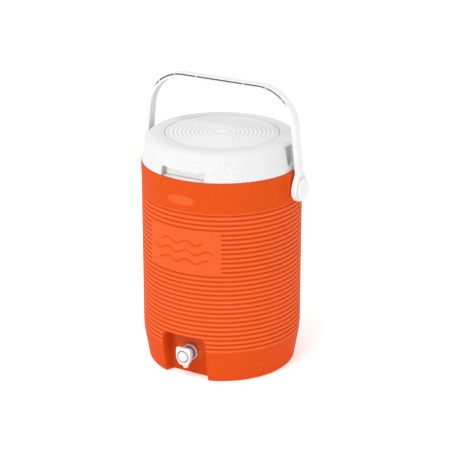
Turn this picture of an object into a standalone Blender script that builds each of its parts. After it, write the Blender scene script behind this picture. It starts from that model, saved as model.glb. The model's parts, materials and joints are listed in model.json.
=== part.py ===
"""Insulated drinks jug: a ribbed foam-filled drum, a lift-off lid, a bail handle and a push-button tap.

Metres, +Z up. The origin is the centre of the base, the tap faces -Y and the bail's pivots lie on X.
"""

from math import cos, pi, radians, sin, tan

import bmesh
import bpy
from mathutils import Euler, Matrix, Vector

MM = 0.001
GAP = 0.3 * MM  # between two pieces that touch
OUTSIDE = 40 * MM  # how far a cutter runs past the surface that it opens
WELD = 0.002 * MM  # closes the slivers that a Boolean leaves

# Drum: the outer shell
DRUM_RADIUS = 160 * MM
DRUM_TOP = 419 * MM
DRUM_STEPS = 32
SHELL_WALL = 3.5 * MM
TAPER_TOP = 68 * MM
FOOT_RADIUS = 149.5 * MM
FOOT_FILLET = 5 * MM
FOOT_RING_RADIUS = 118 * MM
BASE_RECESS = 3 * MM

# Ribs: what stands between the grooves that run round the drum
GROOVE_COUNT = 30
GROOVE_PITCH = 9.61 * MM
TOP_GROOVE = 352.8 * MM
GROOVE_DEPTH = 1.3 * MM
GROOVE_HALF_WIDTH = 2.0 * MM

# Front panel, where the grooves stop, and the oval badge recess above it
PANEL_HALF_WIDTH = 79.5 * MM
PANEL_PROUD = 0.1 * MM
PANEL_LOW = 230.8 * MM
PANEL_HIGH = 321 * MM
BADGE_HALF_WIDTH = 29.5 * MM
BADGE_HALF_HEIGHT = 9.5 * MM
BADGE_HEIGHT = 380 * MM
BADGE_DEPTH = 0.9 * MM

# Tap recess at the foot of the front
RECESS_HALF_WIDTH = 44.5 * MM  # at its flat back wall
RECESS_FLARE = 0.12  # how fast its side walls open outwards
RECESS_BACK = 122 * MM  # distance of its flat wall from the drum's axis
RECESS_TOP = 91 * MM

# Inner liner (the vessel) and its mouth flange
LINER_WALL = 3 * MM
MOUTH_RADIUS = 132 * MM
LINER_FOOT_RADIUS = 126.5 * MM
LINER_FLOOR = 29.5 * MM
LINER_CORNER = 12 * MM
LINER_FLANGE_TOP = 418.7 * MM
LINER_FLANGE_LOW = 415.5 * MM
TAP_FLAT = 113 * MM  # outer face of the flat that the tap's nut clamps
TAP_FLAT_TOP = 100 * MM

# Pivots of the bail
PIVOT_HEIGHT = 385 * MM
EAR_FACE = 164.5 * MM
EAR_HALF_WIDTH = 24 * MM
EAR_ROOT = 156.3 * MM  # where the ear starts, inside the shell's wall
BOSS_FACE = 146.5 * MM  # the boss behind the ear reaches in to here
BOSS_RADIUS = 16 * MM
STUD_RADIUS = 6 * MM
STUD_HEAD_RADIUS = 11 * MM
EYE_INNER_FACE = 167.2 * MM
EYE_OUTER_FACE = 179.5 * MM
EYE_RADIUS = 25 * MM
WEB_OUTLINE = ((-11, 36), (11, 36), (23, 9.8), (-23, 9.8))  # joins the strap to its eye
WEB_INNER_FACE = 168 * MM
WEB_OUTER_FACE = 176.5 * MM
CAP_FACE = 187 * MM
PIVOT_STEPS = 20

# Bail handle: a strap bent in the XZ plane, with a narrow slot near the edge of each flat side
BAIL_TOP = 583 * MM
BAIL_OUTER_AT_PIVOT = 180.6 * MM
BAIL_SPLAY = radians(6.2)
BAIL_FLAT = 85 * MM  # half of its flat top
BAIL_CORNER = 82.5 * MM
BAIL_THICKNESS = 9 * MM
BAIL_WIDTH = 22 * MM
SLOT_INSETS = (0.9 * MM, 3.7 * MM)  # from the strap's outer face, in its front and back faces
SLOT_DEPTH = 3.5 * MM
SLOT_END = 163 * MM  # measured along the strap from the middle of its top
SLOT_RIB = 1.8 * MM
SLOT_RIBS = (52.5 * MM, 103 * MM, 144.5 * MM)  # measured in the same way, on both sides
CORNER_PIECES = 8

# Lid
LID_BOTTOM = 419.5 * MM
LID_TOP = 474 * MM
LID_WALL = 3 * MM
LID_TOP_SKIN = 5.5 * MM
LID_SHOULDER = 133.5 * MM  # radius where the top's fillet starts
LID_FILLET = 18 * MM
LID_SIDE = ((156, 434), (158.5, 424.5), (159, 421.5), (158.5, 419.5))
PLATE_RADIUS = 113.2 * MM
PLATE_THICKNESS = 2 * MM
PLATE_LEDGE = 104 * MM
RING_COUNT = 10
RING_PITCH = 8.4 * MM
FIRST_RING = 25 * MM
RING_HEIGHT = 1 * MM
NOTCH_HALF_WIDTH = 47 * MM
NOTCH_BACK = 137 * MM
NOTCH_TOP = 437.5 * MM
SIDE_RECESS = ((144, -11, 431.5), (180, 11, 466))  # the corners of the one on +X
PLUG_RADIUS = 130 * MM
PLUG_INNER_RADIUS = 124 * MM
PLUG_BOTTOM = 394 * MM
PLUG_FLANGE_RADIUS = 155.2 * MM
PLUG_FLANGE_BOTTOM = 419.8 * MM
SEAL_GROOVE = ((127, 409.5), (127, 403.5))
SEAL_OUTER_RADIUS = 131.7 * MM

# Tap: distances along its axis are measured outwards from the drum's axis
TAP_HEIGHT = 48 * MM
TAP_STEPS = 20
HOUSING_FACE = 155.5 * MM
HOUSING_BACK = 143 * MM
HOUSING_OUTLINE = ((13.5, 20), (16, 17.5), (17, 4), (15.3, -7), (11, -15.5), (7, -19))  # its +X half
HOUSING_BACK_TOP = 15.5 * MM  # above the tap's axis, where its sloping top ends
BARREL_RADIUS = 9 * MM
BARREL_END = 93.5 * MM
COLLAR_RADIUS = 11 * MM
COLLAR_START = 126.8 * MM
SPOUT_RADIUS = 5.4 * MM
SPOUT_ROOT = -13 * MM
SPOUT_ROOT_RADIUS = 7 * MM
SPOUT_AXIS = 144 * MM
SPOUT_DROP = 26.5 * MM
SPOUT_BORE = 3.4 * MM
BUTTON_RADIUS = 10.4 * MM
BUTTON_FACE = 157.5 * MM
BUTTON_BACK = 153 * MM
SPRING_LOW = 149.5 * MM
SPRING_HIGH = 155.2 * MM
SPRING_TURNS = 3.5
SPRING_RADIUS = 5 * MM
SPRING_WIRE = 0.45 * MM
NUT_RADIUS = 16 * MM

FACING = {"up": (0, 0, 0), "front": (pi / 2, 0, 0), "right": (0, pi / 2, 0), "left": (0, -pi / 2, 0)}


def clear_scene():
    for old in list(bpy.data.objects):
        bpy.data.objects.remove(old, do_unlink=True)


def new_collection(name):
    made = bpy.data.collections.new(name)
    bpy.context.scene.collection.children.link(made)
    return made


def plastic(name, colour, roughness, metallic=0.0):
    """A Principled material; the colour is linear RGB."""
    made = bpy.data.materials.new(name)
    made.use_nodes = True
    shader = made.node_tree.nodes["Principled BSDF"]
    shader.inputs["Base Color"].default_value = (*colour, 1)
    shader.inputs["Roughness"].default_value = roughness
    shader.inputs["Metallic"].default_value = metallic
    made.diffuse_color = (*colour, 1)
    return made


def smooth_by_angle_group(angle):
    """A node group that shades smooth every edge flatter than the angle."""
    group = bpy.data.node_groups.new("smooth_by_angle", "GeometryNodeTree")
    group.interface.new_socket("Geometry", in_out="INPUT", socket_type="NodeSocketGeometry")
    group.interface.new_socket("Geometry", in_out="OUTPUT", socket_type="NodeSocketGeometry")
    start = group.nodes.new("NodeGroupInput")
    faces = group.nodes.new("GeometryNodeSetShadeSmooth")
    edges = group.nodes.new("GeometryNodeSetShadeSmooth")
    measure = group.nodes.new("GeometryNodeInputMeshEdgeAngle")
    sharp = group.nodes.new("FunctionNodeCompare")
    end = group.nodes.new("NodeGroupOutput")
    faces.domain = "FACE"
    edges.domain = "EDGE"
    edges.inputs["Shade Smooth"].default_value = False
    sharp.operation = "GREATER_THAN"
    sharp.inputs["B"].default_value = angle
    group.links.new(start.outputs[0], faces.inputs["Geometry"])
    group.links.new(faces.outputs[0], edges.inputs["Geometry"])
    group.links.new(measure.outputs["Unsigned Angle"], sharp.inputs["A"])
    group.links.new(sharp.outputs[0], edges.inputs["Selection"])
    group.links.new(edges.outputs[0], end.inputs[0])
    return group


clear_scene()
PARTS = new_collection("insulated_drinks_jug")
CUTTERS = new_collection("cutters")
SMOOTHING = smooth_by_angle_group(radians(32))

ORANGE = plastic("orange_shell", (0.90, 0.105, 0.012), 0.5)
WHITE = plastic("white_lid", (0.82, 0.82, 0.82), 0.5)
HANDLE_WHITE = plastic("white_handle", (0.84, 0.84, 0.84), 0.4)
LINER_WHITE = plastic("white_liner", (0.78, 0.78, 0.76), 0.35)
FOAM = plastic("foam", (0.80, 0.66, 0.36), 0.9)
TAP_WHITE = plastic("white_tap", (0.85, 0.85, 0.85), 0.3)
GREY = plastic("grey_ring", (0.23, 0.26, 0.29), 0.55)
RUBBER = plastic("seal_rubber", (0.05, 0.05, 0.055), 0.7)
STEEL = plastic("spring_steel", (0.55, 0.56, 0.58), 0.3, 1.0)


# ---- Builders -------------------------------------------------------------------------------

def place(name, data, centre, facing):
    made = bpy.data.objects.new(name, data)
    made.location = centre
    made.rotation_euler = FACING[facing]
    PARTS.objects.link(made)
    return made


def mesh_from(name, geometry):
    mesh = bpy.data.meshes.new(name)
    geometry.to_mesh(mesh)
    geometry.free()
    return mesh


def turned(name, outline, steps=DRUM_STEPS, centre=(0, 0, 0), facing="up"):
    """A solid of revolution. The outline runs down its outer side; one that stays off the axis is closed."""
    mesh = bpy.data.meshes.new(name)
    count = len(outline)
    edges = [(i, i + 1) for i in range(count - 1)]
    if outline[0][0] > 0:
        edges.append((count - 1, 0))
    mesh.from_pydata([(r, 0, z) for r, z in outline], edges, [])
    made = place(name, mesh, centre, facing)
    spin(made, steps)
    return made


def spin(made, steps):
    screw = made.modifiers.new("turn", "SCREW")
    screw.steps = steps
    screw.render_steps = steps
    screw.use_merge_vertices = True
    screw.merge_threshold = 0.00001
    screw.use_smooth_shade = True


def ring(name, inner, outer, low, high, steps, centre, facing):
    return turned(name, [(inner, high), (outer, high), (outer, low), (inner, low)], steps, centre, facing)


def rod(name, radius, low, high, steps, centre=(0, 0, 0), facing="up"):
    geometry = bmesh.new()
    middle = Matrix.Translation((0, 0, (low + high) / 2))
    bmesh.ops.create_cone(geometry, cap_ends=True, segments=steps, radius1=radius, radius2=radius,
                          depth=high - low, matrix=middle)
    return place(name, mesh_from(name, geometry), centre, facing)


def block(name, low, high):
    geometry = bmesh.new()
    low, high = Vector(low), Vector(high)
    size = Matrix.Diagonal((*(high - low), 1))
    bmesh.ops.create_cube(geometry, size=1, matrix=Matrix.Translation((low + high) / 2) @ size)
    return place(name, mesh_from(name, geometry), (0, 0, 0), "up")


def plate(name, outline, low, high, centre, facing):
    """A flat outline with a thickness, as a mesh. It faces the way that its axis points."""
    curve = bpy.data.curves.new(name, "CURVE")
    curve.dimensions = "2D"
    curve.fill_mode = "BOTH"
    curve.extrude = (high - low) / 2
    spline = curve.splines.new("POLY")
    spline.points.add(len(outline) - 1)
    for point, (x, y) in zip(spline.points, outline):
        point.co = (x, y, 0, 1)
    spline.use_cyclic_u = True
    middle = Euler(FACING[facing]).to_matrix() @ Vector((0, 0, (low + high) / 2))
    return as_mesh(place(name, curve, Vector(centre) + middle, facing))


def as_mesh(drawn):
    """Replaces a curve object by a mesh object whose caps are welded on."""
    name = drawn.name
    bpy.context.view_layer.update()
    mesh = bpy.data.meshes.new_from_object(drawn.evaluated_get(bpy.context.evaluated_depsgraph_get()))
    geometry = bmesh.new()
    geometry.from_mesh(mesh)
    bmesh.ops.remove_doubles(geometry, verts=geometry.verts, dist=0.000001)
    geometry.to_mesh(mesh)
    geometry.free()
    where = drawn.matrix_world.copy()
    bpy.data.objects.remove(drawn, do_unlink=True)
    made = bpy.data.objects.new(name, mesh)
    made.matrix_world = where
    PARTS.objects.link(made)
    return made


def helper(made):
    """Turns an object into a cutter or guide, which is no part of the jug."""
    PARTS.objects.unlink(made)
    CUTTERS.objects.link(made)
    made.hide_render = True
    made.display_type = "WIRE"
    return made


def combine(operation, target, tools):
    for tool in tools:
        boolean = target.modifiers.new(f"{operation.lower()}_{tool.name}", "BOOLEAN")
        boolean.operation = operation
        boolean.solver = "EXACT"
        boolean.object = tool
        weld = target.modifiers.new(f"weld_{tool.name}", "WELD")
        weld.merge_threshold = WELD
    return target


def cut(target, *tools):
    return combine("DIFFERENCE", target, tools)


def join(target, *tools):
    return combine("UNION", target, tools)


def trim(target, *tools):
    return combine("INTERSECT", target, tools)


def soften(made, width, segments=2, angle=50):
    bevel = made.modifiers.new("soft_edges", "BEVEL")
    bevel.width = width
    bevel.segments = segments
    bevel.limit_method = "ANGLE"
    bevel.angle_limit = radians(angle)
    return made


def finish(made, material):
    """The last step of a piece: its material, then shading by angle."""
    made.data.materials.append(material)
    if made.type == "MESH":
        made.modifiers.new("smooth_by_angle", "NODES").node_group = SMOOTHING
    return made


def axis_empty(name, where):
    made = bpy.data.objects.new(name, None)
    made.location = where
    PARTS.objects.link(made)
    return made


def carry(parent, *pieces):
    for piece in pieces:
        piece.location = Vector(piece.location) - parent.location
        piece.parent = parent


def arc(centre, radius, start, end, count):
    """Points of an arc in an outline; the angles are in degrees from the outward direction."""
    turns = [radians(start + (end - start) * i / count) for i in range(count + 1)]
    return [(centre[0] + radius * cos(t), centre[1] + radius * sin(t)) for t in turns]


def in_metres(points):
    return [tuple(value * MM for value in point) for point in points]


# ---- Drum: shell, liner, foam ---------------------------------------------------------------

def cavity_outline(inset, top):
    """The inside of the shell, made smaller by the inset."""
    floor = BASE_RECESS + SHELL_WALL + inset
    wall = DRUM_RADIUS - GROOVE_DEPTH - SHELL_WALL - inset
    lean = DRUM_RADIUS - FOOT_RADIUS
    return [
        (0, top),
        (wall, top),
        (wall, TAPER_TOP),
        (wall - lean, floor + 6 * MM),
        (wall - lean - 5 * MM, floor),
        (0, floor),
    ]


def grooved_side():
    """The drum's side from top to bottom: V grooves that leave flat-topped ribs."""
    side = []
    for i in range(GROOVE_COUNT):
        height = TOP_GROOVE - i * GROOVE_PITCH
        side.append((DRUM_RADIUS, height + GROOVE_HALF_WIDTH))
        side.append((DRUM_RADIUS - GROOVE_DEPTH, height))
        side.append((DRUM_RADIUS, height - GROOVE_HALF_WIDTH))
    return side


def shell_outline():
    """Up the inside from the middle of the floor, over the rim and down the outside."""
    inside = cavity_outline(0, DRUM_TOP)[:0:-1]
    foot = arc((FOOT_RADIUS - FOOT_FILLET, FOOT_FILLET), FOOT_FILLET, -5, -90, 3)
    return [
        *inside,
        (DRUM_RADIUS, DRUM_TOP),
        *grooved_side(),
        (DRUM_RADIUS, TAPER_TOP),
        *foot,
        (FOOT_RING_RADIUS, 0),
        (FOOT_RING_RADIUS - BASE_RECESS, BASE_RECESS),
        (0, BASE_RECESS),
    ]


def front_panel():
    """The smooth patch that fills the grooves at the front."""
    patch = ring("front_panel", DRUM_RADIUS - 3 * MM, DRUM_RADIUS + PANEL_PROUD, PANEL_LOW - OUTSIDE,
                 PANEL_HIGH + OUTSIDE, DRUM_STEPS, (0, 0, 0), "up")
    limits = block("panel_limits", (-PANEL_HALF_WIDTH, -DRUM_RADIUS - OUTSIDE, PANEL_LOW),
                   (PANEL_HALF_WIDTH, -PANEL_HALF_WIDTH, PANEL_HIGH))
    return trim(helper(patch), helper(limits))


def recess_walls():
    """A solid block round the tap recess, trimmed to the middle of the shell's wall."""
    walls = recess_block("recess_walls", SHELL_WALL)
    middle = turned("middle_of_wall", cavity_outline(-SHELL_WALL / 2, RECESS_TOP + OUTSIDE))
    return trim(walls, helper(middle))


def badge_cutter():
    """A shallow oval recess that follows the drum's round front."""
    oval = [
        (BADGE_HALF_WIDTH * cos(pi * (2 * i + 1) / 28), BADGE_HALF_HEIGHT * sin(pi * (2 * i + 1) / 28))
        for i in range(28)
    ]
    cutter = plate("badge_recess", oval, DRUM_RADIUS - OUTSIDE, DRUM_RADIUS + OUTSIDE,
                   (0, 0, BADGE_HEIGHT), "front")
    inner = rod("badge_floor", DRUM_RADIUS - BADGE_DEPTH, BADGE_HEIGHT - OUTSIDE,
                BADGE_HEIGHT + OUTSIDE, DRUM_STEPS)
    return cut(helper(cutter), helper(inner))


def recess_block(name, grow):
    """The tap recess's space, grown on its closed sides; its side walls open outwards."""
    back = RECESS_BACK - grow
    mouth = DRUM_RADIUS + OUTSIDE
    narrow = RECESS_HALF_WIDTH + grow
    wide = narrow + RECESS_FLARE * (mouth - back)
    outline = [(-wide, -mouth), (wide, -mouth), (narrow, -back), (-narrow, -back)]
    return helper(plate(name, outline, -OUTSIDE, RECESS_TOP + grow, (0, 0, 0), "up"))


def tap_flat_block(name, face, top):
    return helper(block(name, (-DRUM_RADIUS, -DRUM_RADIUS, -OUTSIDE), (DRUM_RADIUS, -face, top)))


def pivot_rods(name, radius, low, high):
    """One rod on each pivot, as two helpers."""
    centre = (0, 0, PIVOT_HEIGHT)
    return [
        helper(rod(f"{name}_{side}", radius, low, high, PIVOT_STEPS, centre, side))
        for side in ("left", "right")
    ]


def tap_rod(name, radius, low, high):
    return helper(rod(name, radius, low, high, TAP_STEPS, (0, 0, TAP_HEIGHT), "front"))


def side_plate(name, side, outline, low, high):
    """A plate at a pivot; its outline is drawn as the pivot is seen from outside, up being up."""
    turn = 1 if side == "left" else -1
    drawn = [(turn * y, -turn * x) for x, y in outline]
    return plate(f"{name}_{side}", drawn, low, high, (0, 0, PIVOT_HEIGHT), side)


def ear(side):
    """The flat-faced ear that carries a pivot: round below, square above up to the rim."""
    reach = DRUM_TOP - GAP - PIVOT_HEIGHT
    outline = [(EAR_HALF_WIDTH * cos(radians(t)), EAR_HALF_WIDTH * sin(radians(t)))
               for t in range(-180, 1, 20)]
    outline += [(EAR_HALF_WIDTH, reach), (-EAR_HALF_WIDTH, reach)]
    return helper(soften(side_plate("ear", side, outline, EAR_ROOT, EAR_FACE), 1.5 * MM, 1))


def build_shell():
    shell = turned("outer_shell", shell_outline())
    join(shell, front_panel(), recess_walls(), ear("left"), ear("right"))
    join(shell, *pivot_rods("ear_boss", BOSS_RADIUS, BOSS_FACE, DRUM_RADIUS - GROOVE_DEPTH))
    cut(shell, recess_block("tap_recess", 0), badge_cutter())
    cut(shell, *pivot_rods("ear_bore", STUD_RADIUS + GAP, BOSS_FACE - OUTSIDE, EAR_FACE + OUTSIDE))
    cut(shell, tap_rod("shell_tap_bore", BARREL_RADIUS + 0.5 * MM, RECESS_BACK - OUTSIDE, HOUSING_FACE))
    cut(shell, helper(rod("fill_hole", 12 * MM, -OUTSIDE, BASE_RECESS + SHELL_WALL + 1 * MM, TAP_STEPS)))
    return finish(shell, ORANGE)


def liner_side(grow):
    """The liner's outside below its flange, made larger by grow."""
    foot = LINER_FOOT_RADIUS + LINER_WALL + grow
    floor = LINER_FLOOR - LINER_WALL - grow
    return [
        (MOUTH_RADIUS + LINER_WALL + grow, LINER_FLANGE_LOW),
        (foot, floor + LINER_CORNER),
        (foot - LINER_CORNER * 0.3, floor + LINER_CORNER * 0.3),
        (foot - LINER_CORNER, floor),
        (0, floor),
    ]


def build_liner():
    flange = DRUM_RADIUS - GROOVE_DEPTH - SHELL_WALL - GAP
    outline = [(0, LINER_FLANGE_TOP), (flange, LINER_FLANGE_TOP), (flange, LINER_FLANGE_LOW)]
    liner = turned("inner_liner", outline + liner_side(0))
    cut(liner, tap_flat_block("liner_flat", TAP_FLAT, TAP_FLAT_TOP))
    above = DRUM_TOP + OUTSIDE
    inside = helper(turned("liner_inside", [(0, above), (MOUTH_RADIUS, above), *liner_side(-LINER_WALL)]))
    cut(inside, tap_flat_block("inside_flat", TAP_FLAT - LINER_WALL, TAP_FLAT_TOP + LINER_WALL))
    cut(liner, inside)
    cut(liner, tap_rod("liner_tap_bore", BARREL_RADIUS + 0.5 * MM, BARREL_END, RECESS_BACK))
    return finish(liner, LINER_WHITE)


def build_foam():
    foam = turned("insulation_foam", cavity_outline(GAP, LINER_FLANGE_LOW - GAP))
    cut(foam, recess_block("foam_recess", SHELL_WALL + GAP))
    above = DRUM_TOP + OUTSIDE
    mouth = MOUTH_RADIUS + LINER_WALL + GAP
    vessel = helper(turned("liner_space", [(0, above), (mouth, above), *liner_side(GAP)]))
    cut(vessel, tap_flat_block("vessel_flat", TAP_FLAT + GAP, TAP_FLAT_TOP))
    cut(foam, vessel)
    cut(foam, *pivot_rods("foam_boss", BOSS_RADIUS + GAP, BOSS_FACE - GAP, EAR_FACE))
    cut(foam, *pivot_rods("foam_stud", STUD_HEAD_RADIUS + 1 * MM, BOSS_FACE - 6 * MM, EAR_FACE))
    cut(foam, tap_rod("foam_tap_bore", BARREL_RADIUS + 1.5 * MM, BARREL_END, RECESS_BACK))
    cut(foam, helper(rod("foam_plug_hole", 12.3 * MM, -OUTSIDE, 10.5 * MM, TAP_STEPS)))
    return finish(foam, FOAM)


def build_fill_plug():
    head = BASE_RECESS - GAP
    outline = in_metres([(0, 10), (10.5, 10), (11.7, 8.5)])
    outline += [(11.7 * MM, head), (15 * MM, head), (15 * MM, head - 1.5 * MM), (0, head - 1.5 * MM)]
    return finish(turned("foam_fill_plug", outline, TAP_STEPS), ORANGE)


# ---- Bail and its pivots --------------------------------------------------------------------

def bail_point(travel, inset):
    """A point of the strap: travel runs along its outside from the top's middle, inset goes inwards."""
    side = -1 if travel < 0 else 1
    travel = abs(travel)
    corner_z = BAIL_TOP - BAIL_CORNER
    line_x = BAIL_OUTER_AT_PIVOT - tan(BAIL_SPLAY) * (corner_z - PIVOT_HEIGHT)
    corner_x = line_x - BAIL_CORNER / cos(BAIL_SPLAY)
    corner_length = BAIL_CORNER * (pi / 2 - BAIL_SPLAY)
    if travel <= corner_x:
        return side * travel, BAIL_TOP - inset
    turn = min(travel - corner_x, corner_length) / BAIL_CORNER
    radius = BAIL_CORNER - inset
    beyond = max(0, travel - corner_x - corner_length)
    x = corner_x + radius * sin(turn) + beyond * sin(BAIL_SPLAY)
    z = corner_z + radius * cos(turn) - beyond * cos(BAIL_SPLAY)
    return side * x, z


def bail_band(name, start, end, outer, inner, front, back):
    """The stretch of the bail's strap from start to end, between two insets and two depths."""
    piece = (radians(90) - BAIL_SPLAY) * BAIL_CORNER / CORNER_PIECES
    steps = [BAIL_FLAT + piece * i for i in range(CORNER_PIECES + 1)]
    marks = sorted(s for s in [-s for s in steps] + steps if start < s < end)
    stations = [start, *marks, end]
    outline = [bail_point(s, outer) for s in stations]
    outline += [bail_point(s, inner) for s in reversed(stations)]
    drawn = [(x, z - PIVOT_HEIGHT) for x, z in outline]
    return plate(name, drawn, front, back, (0, 0, PIVOT_HEIGHT), "front")


def slot_stretches():
    """The open stretches of a slot, between its cross ribs, on both sides."""
    half = SLOT_RIB / 2
    limits = [(-SLOT_RIBS[0] + half, SLOT_RIBS[0] - half)]
    ends = [*SLOT_RIBS, SLOT_END + half]
    for start, end in zip(ends, ends[1:]):
        limits.append((start + half, end - half))
        limits.append((-end + half, -start - half))
    return limits


def build_bail():
    arm = BAIL_TOP - BAIL_CORNER - PIVOT_HEIGHT
    strap_end = BAIL_FLAT + (radians(90) - BAIL_SPLAY) * BAIL_CORNER + arm
    face = BAIL_WIDTH / 2
    bail = bail_band("handle_bail", -strap_end, strap_end, 0, BAIL_THICKNESS, -face, face)
    for i, (start, end) in enumerate(slot_stretches()):
        for depths in ((-face - OUTSIDE, -face + SLOT_DEPTH), (face - SLOT_DEPTH, face + OUTSIDE)):
            cut(bail, helper(bail_band(f"slot_{i}", start, end, *SLOT_INSETS, *depths)))
    join(bail, *pivot_rods("bail_eye", EYE_RADIUS, EYE_INNER_FACE, EYE_OUTER_FACE))
    for side in ("left", "right"):
        web = side_plate("eye_web", side, in_metres(WEB_OUTLINE), WEB_INNER_FACE, WEB_OUTER_FACE)
        join(bail, helper(web))
    cut(bail, *pivot_rods("bail_bore", STUD_RADIUS + GAP, EAR_FACE, CAP_FACE + OUTSIDE))
    return finish(bail, HANDLE_WHITE)


def build_cap(side):
    outer = EYE_OUTER_FACE + GAP
    outline = [(0, CAP_FACE), (13 * MM, CAP_FACE), (16 * MM, CAP_FACE - 1.2 * MM)]
    outline += [(20.5 * MM, outer + 1.5 * MM), (21 * MM, outer)]
    outline += [(STUD_HEAD_RADIUS + 1 * MM, outer), (STUD_HEAD_RADIUS + 1 * MM, outer + 5 * MM)]
    outline += [(0, outer + 5 * MM)]
    cap = turned(f"handle_cap_{side}", outline, PIVOT_STEPS, (0, 0, PIVOT_HEIGHT), side)
    return finish(cap, HANDLE_WHITE)


def build_stud(side):
    shoulder = EYE_OUTER_FACE + GAP
    outline = [
        (0, shoulder + 3 * MM),
        (STUD_HEAD_RADIUS, shoulder + 3 * MM),
        (STUD_HEAD_RADIUS, shoulder),
        (STUD_RADIUS, shoulder),
        (STUD_RADIUS, BOSS_FACE - 3.5 * MM),
        (STUD_RADIUS - 1 * MM, BOSS_FACE - 4.5 * MM),
        (0, BOSS_FACE - 4.5 * MM),
    ]
    stud = turned(f"pivot_stud_{side}", outline, PIVOT_STEPS, (0, 0, PIVOT_HEIGHT), side)
    return finish(stud, HANDLE_WHITE)


def build_pivot_ring(name, side, outer, low, high, material):
    made = ring(f"{name}_{side}", STUD_RADIUS + GAP, outer, low, high, PIVOT_STEPS,
                (0, 0, PIVOT_HEIGHT), side)
    return finish(made, material)


# ---- Lid ------------------------------------------------------------------------------------

def lid_outline(inset, top, bottom):
    """The lid's outside, or its inside when inset; the side's points end at the bottom."""
    centre = (LID_SHOULDER, LID_TOP - LID_FILLET)
    side = [(r - inset, z) for r, z in in_metres(LID_SIDE)]
    shoulder = [p for p in arc(centre, LID_FILLET - inset, 90, 0, 5) if p[1] < top]
    return [(0, top), (LID_SHOULDER, top), *shoulder, *side[:-1], (side[-1][0], bottom), (0, bottom)]


def notch_block(name, grow):
    side = NOTCH_HALF_WIDTH + grow
    return helper(block(name, (-side, -DRUM_RADIUS - OUTSIDE, LID_BOTTOM - OUTSIDE),
                        (side, -NOTCH_BACK + grow, NOTCH_TOP + grow)))


def side_recess_blocks(name, grow):
    """The finger recesses on both sides, grown on their five closed sides."""
    low, high = [Vector(p) for p in in_metres(SIDE_RECESS)]
    low -= Vector((grow, grow, grow))
    high += Vector((0, grow, grow))
    right = block(f"{name}_right", low, high)
    left = block(f"{name}_left", (-high.x, low.y, low.z), (-low.x, high.y, high.z))
    return [helper(right), helper(left)]


def build_lid_shell():
    shell = turned("lid_shell", lid_outline(0, LID_TOP, LID_BOTTOM))
    cut(shell, notch_block("finger_notch", 0), *side_recess_blocks("side_recess", 0))
    cavity = helper(turned("lid_cavity", lid_outline(LID_WALL, LID_TOP - LID_TOP_SKIN, LID_BOTTOM - OUTSIDE)))
    cut(cavity, notch_block("notch_and_wall", LID_WALL))
    cut(cavity, *side_recess_blocks("recess_and_wall", LID_WALL))
    cut(shell, cavity)
    seat = LID_TOP - PLATE_THICKNESS - GAP
    cut(shell, helper(rod("plate_seat", PLATE_RADIUS + 0.5 * MM, seat, LID_TOP + OUTSIDE, DRUM_STEPS)))
    cut(shell, helper(rod("plate_opening", PLATE_LEDGE, LID_TOP - 10 * MM, LID_TOP + OUTSIDE, DRUM_STEPS)))
    return finish(shell, WHITE)


def build_top_plate():
    """A thin disc with a flat middle and nine concentric ridges."""
    low = LID_TOP - PLATE_THICKNESS
    valley = LID_TOP - RING_HEIGHT
    outline = [(0, LID_TOP - RING_HEIGHT / 2), (21 * MM, LID_TOP - RING_HEIGHT / 2)]
    for i in range(RING_COUNT):
        crest = FIRST_RING + i * RING_PITCH
        outline += [(crest - RING_PITCH / 2, valley), (crest, LID_TOP)]
    rim = FIRST_RING + (RING_COUNT - 0.5) * RING_PITCH
    outline += [(rim, valley), (rim + 1 * MM, LID_TOP - GAP), (PLATE_RADIUS, LID_TOP - GAP)]
    outline += [(PLATE_RADIUS, low), (0, low)]
    return finish(turned("lid_top_plate", outline), WHITE)


def build_plug():
    """The lid's inner skin: a flange, and a cup that enters the liner's mouth."""
    flange_top = PLUG_FLANGE_BOTTOM + LID_WALL
    groove_high, groove_low = in_metres(SEAL_GROOVE)
    outline = [
        (0, PLUG_BOTTOM + LID_WALL),
        (PLUG_INNER_RADIUS, PLUG_BOTTOM + LID_WALL),
        (PLUG_INNER_RADIUS, flange_top),
        (PLUG_FLANGE_RADIUS, flange_top),
        (PLUG_FLANGE_RADIUS, PLUG_FLANGE_BOTTOM),
        (PLUG_RADIUS, PLUG_FLANGE_BOTTOM),
        (PLUG_RADIUS, groove_high[1]),
        groove_high,
        groove_low,
        (PLUG_RADIUS, groove_low[1]),
        (PLUG_RADIUS - 2 * MM, PLUG_BOTTOM),
        (0, PLUG_BOTTOM),
    ]
    plug = turned("lid_plug", outline)
    cut(plug, notch_block("plug_notch", LID_WALL + GAP))
    return finish(plug, LINER_WHITE)


def build_lid_foam():
    top = LID_TOP - PLATE_THICKNESS - 2 * GAP
    skin = LID_TOP - LID_TOP_SKIN - GAP
    flange_top = PLUG_FLANGE_BOTTOM + LID_WALL + GAP
    dome = lid_outline(LID_WALL + GAP, skin, flange_top)
    cup = PLUG_INNER_RADIUS - GAP
    floor = PLUG_BOTTOM + LID_WALL + GAP
    outline = [(0, top), (PLATE_LEDGE - GAP, top), (PLATE_LEDGE - GAP, skin), *dome[1:-3]]
    outline += [(PLUG_FLANGE_RADIUS - 0.8 * MM, flange_top), (cup, flange_top), (cup, floor), (0, floor)]
    foam = turned("lid_foam", outline)
    cut(foam, notch_block("foam_notch", LID_WALL + GAP))
    cut(foam, *side_recess_blocks("foam_side_recess", LID_WALL + GAP))
    return finish(foam, FOAM)


def build_gasket():
    (inner, high), (_, low) = in_metres(SEAL_GROOVE)
    made = ring("lid_gasket", inner + GAP, SEAL_OUTER_RADIUS, low + GAP, high - GAP, DRUM_STEPS,
                (0, 0, 0), "up")
    return finish(made, RUBBER)


# ---- Tap ------------------------------------------------------------------------------------

def tap_turned(name, outline_mm, material):
    """A turned tap piece; its outline is in millimetres from the drum's axis, outer end first."""
    made = turned(name, in_metres(outline_mm), TAP_STEPS, (0, 0, TAP_HEIGHT), "front")
    return finish(made, material)


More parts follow.
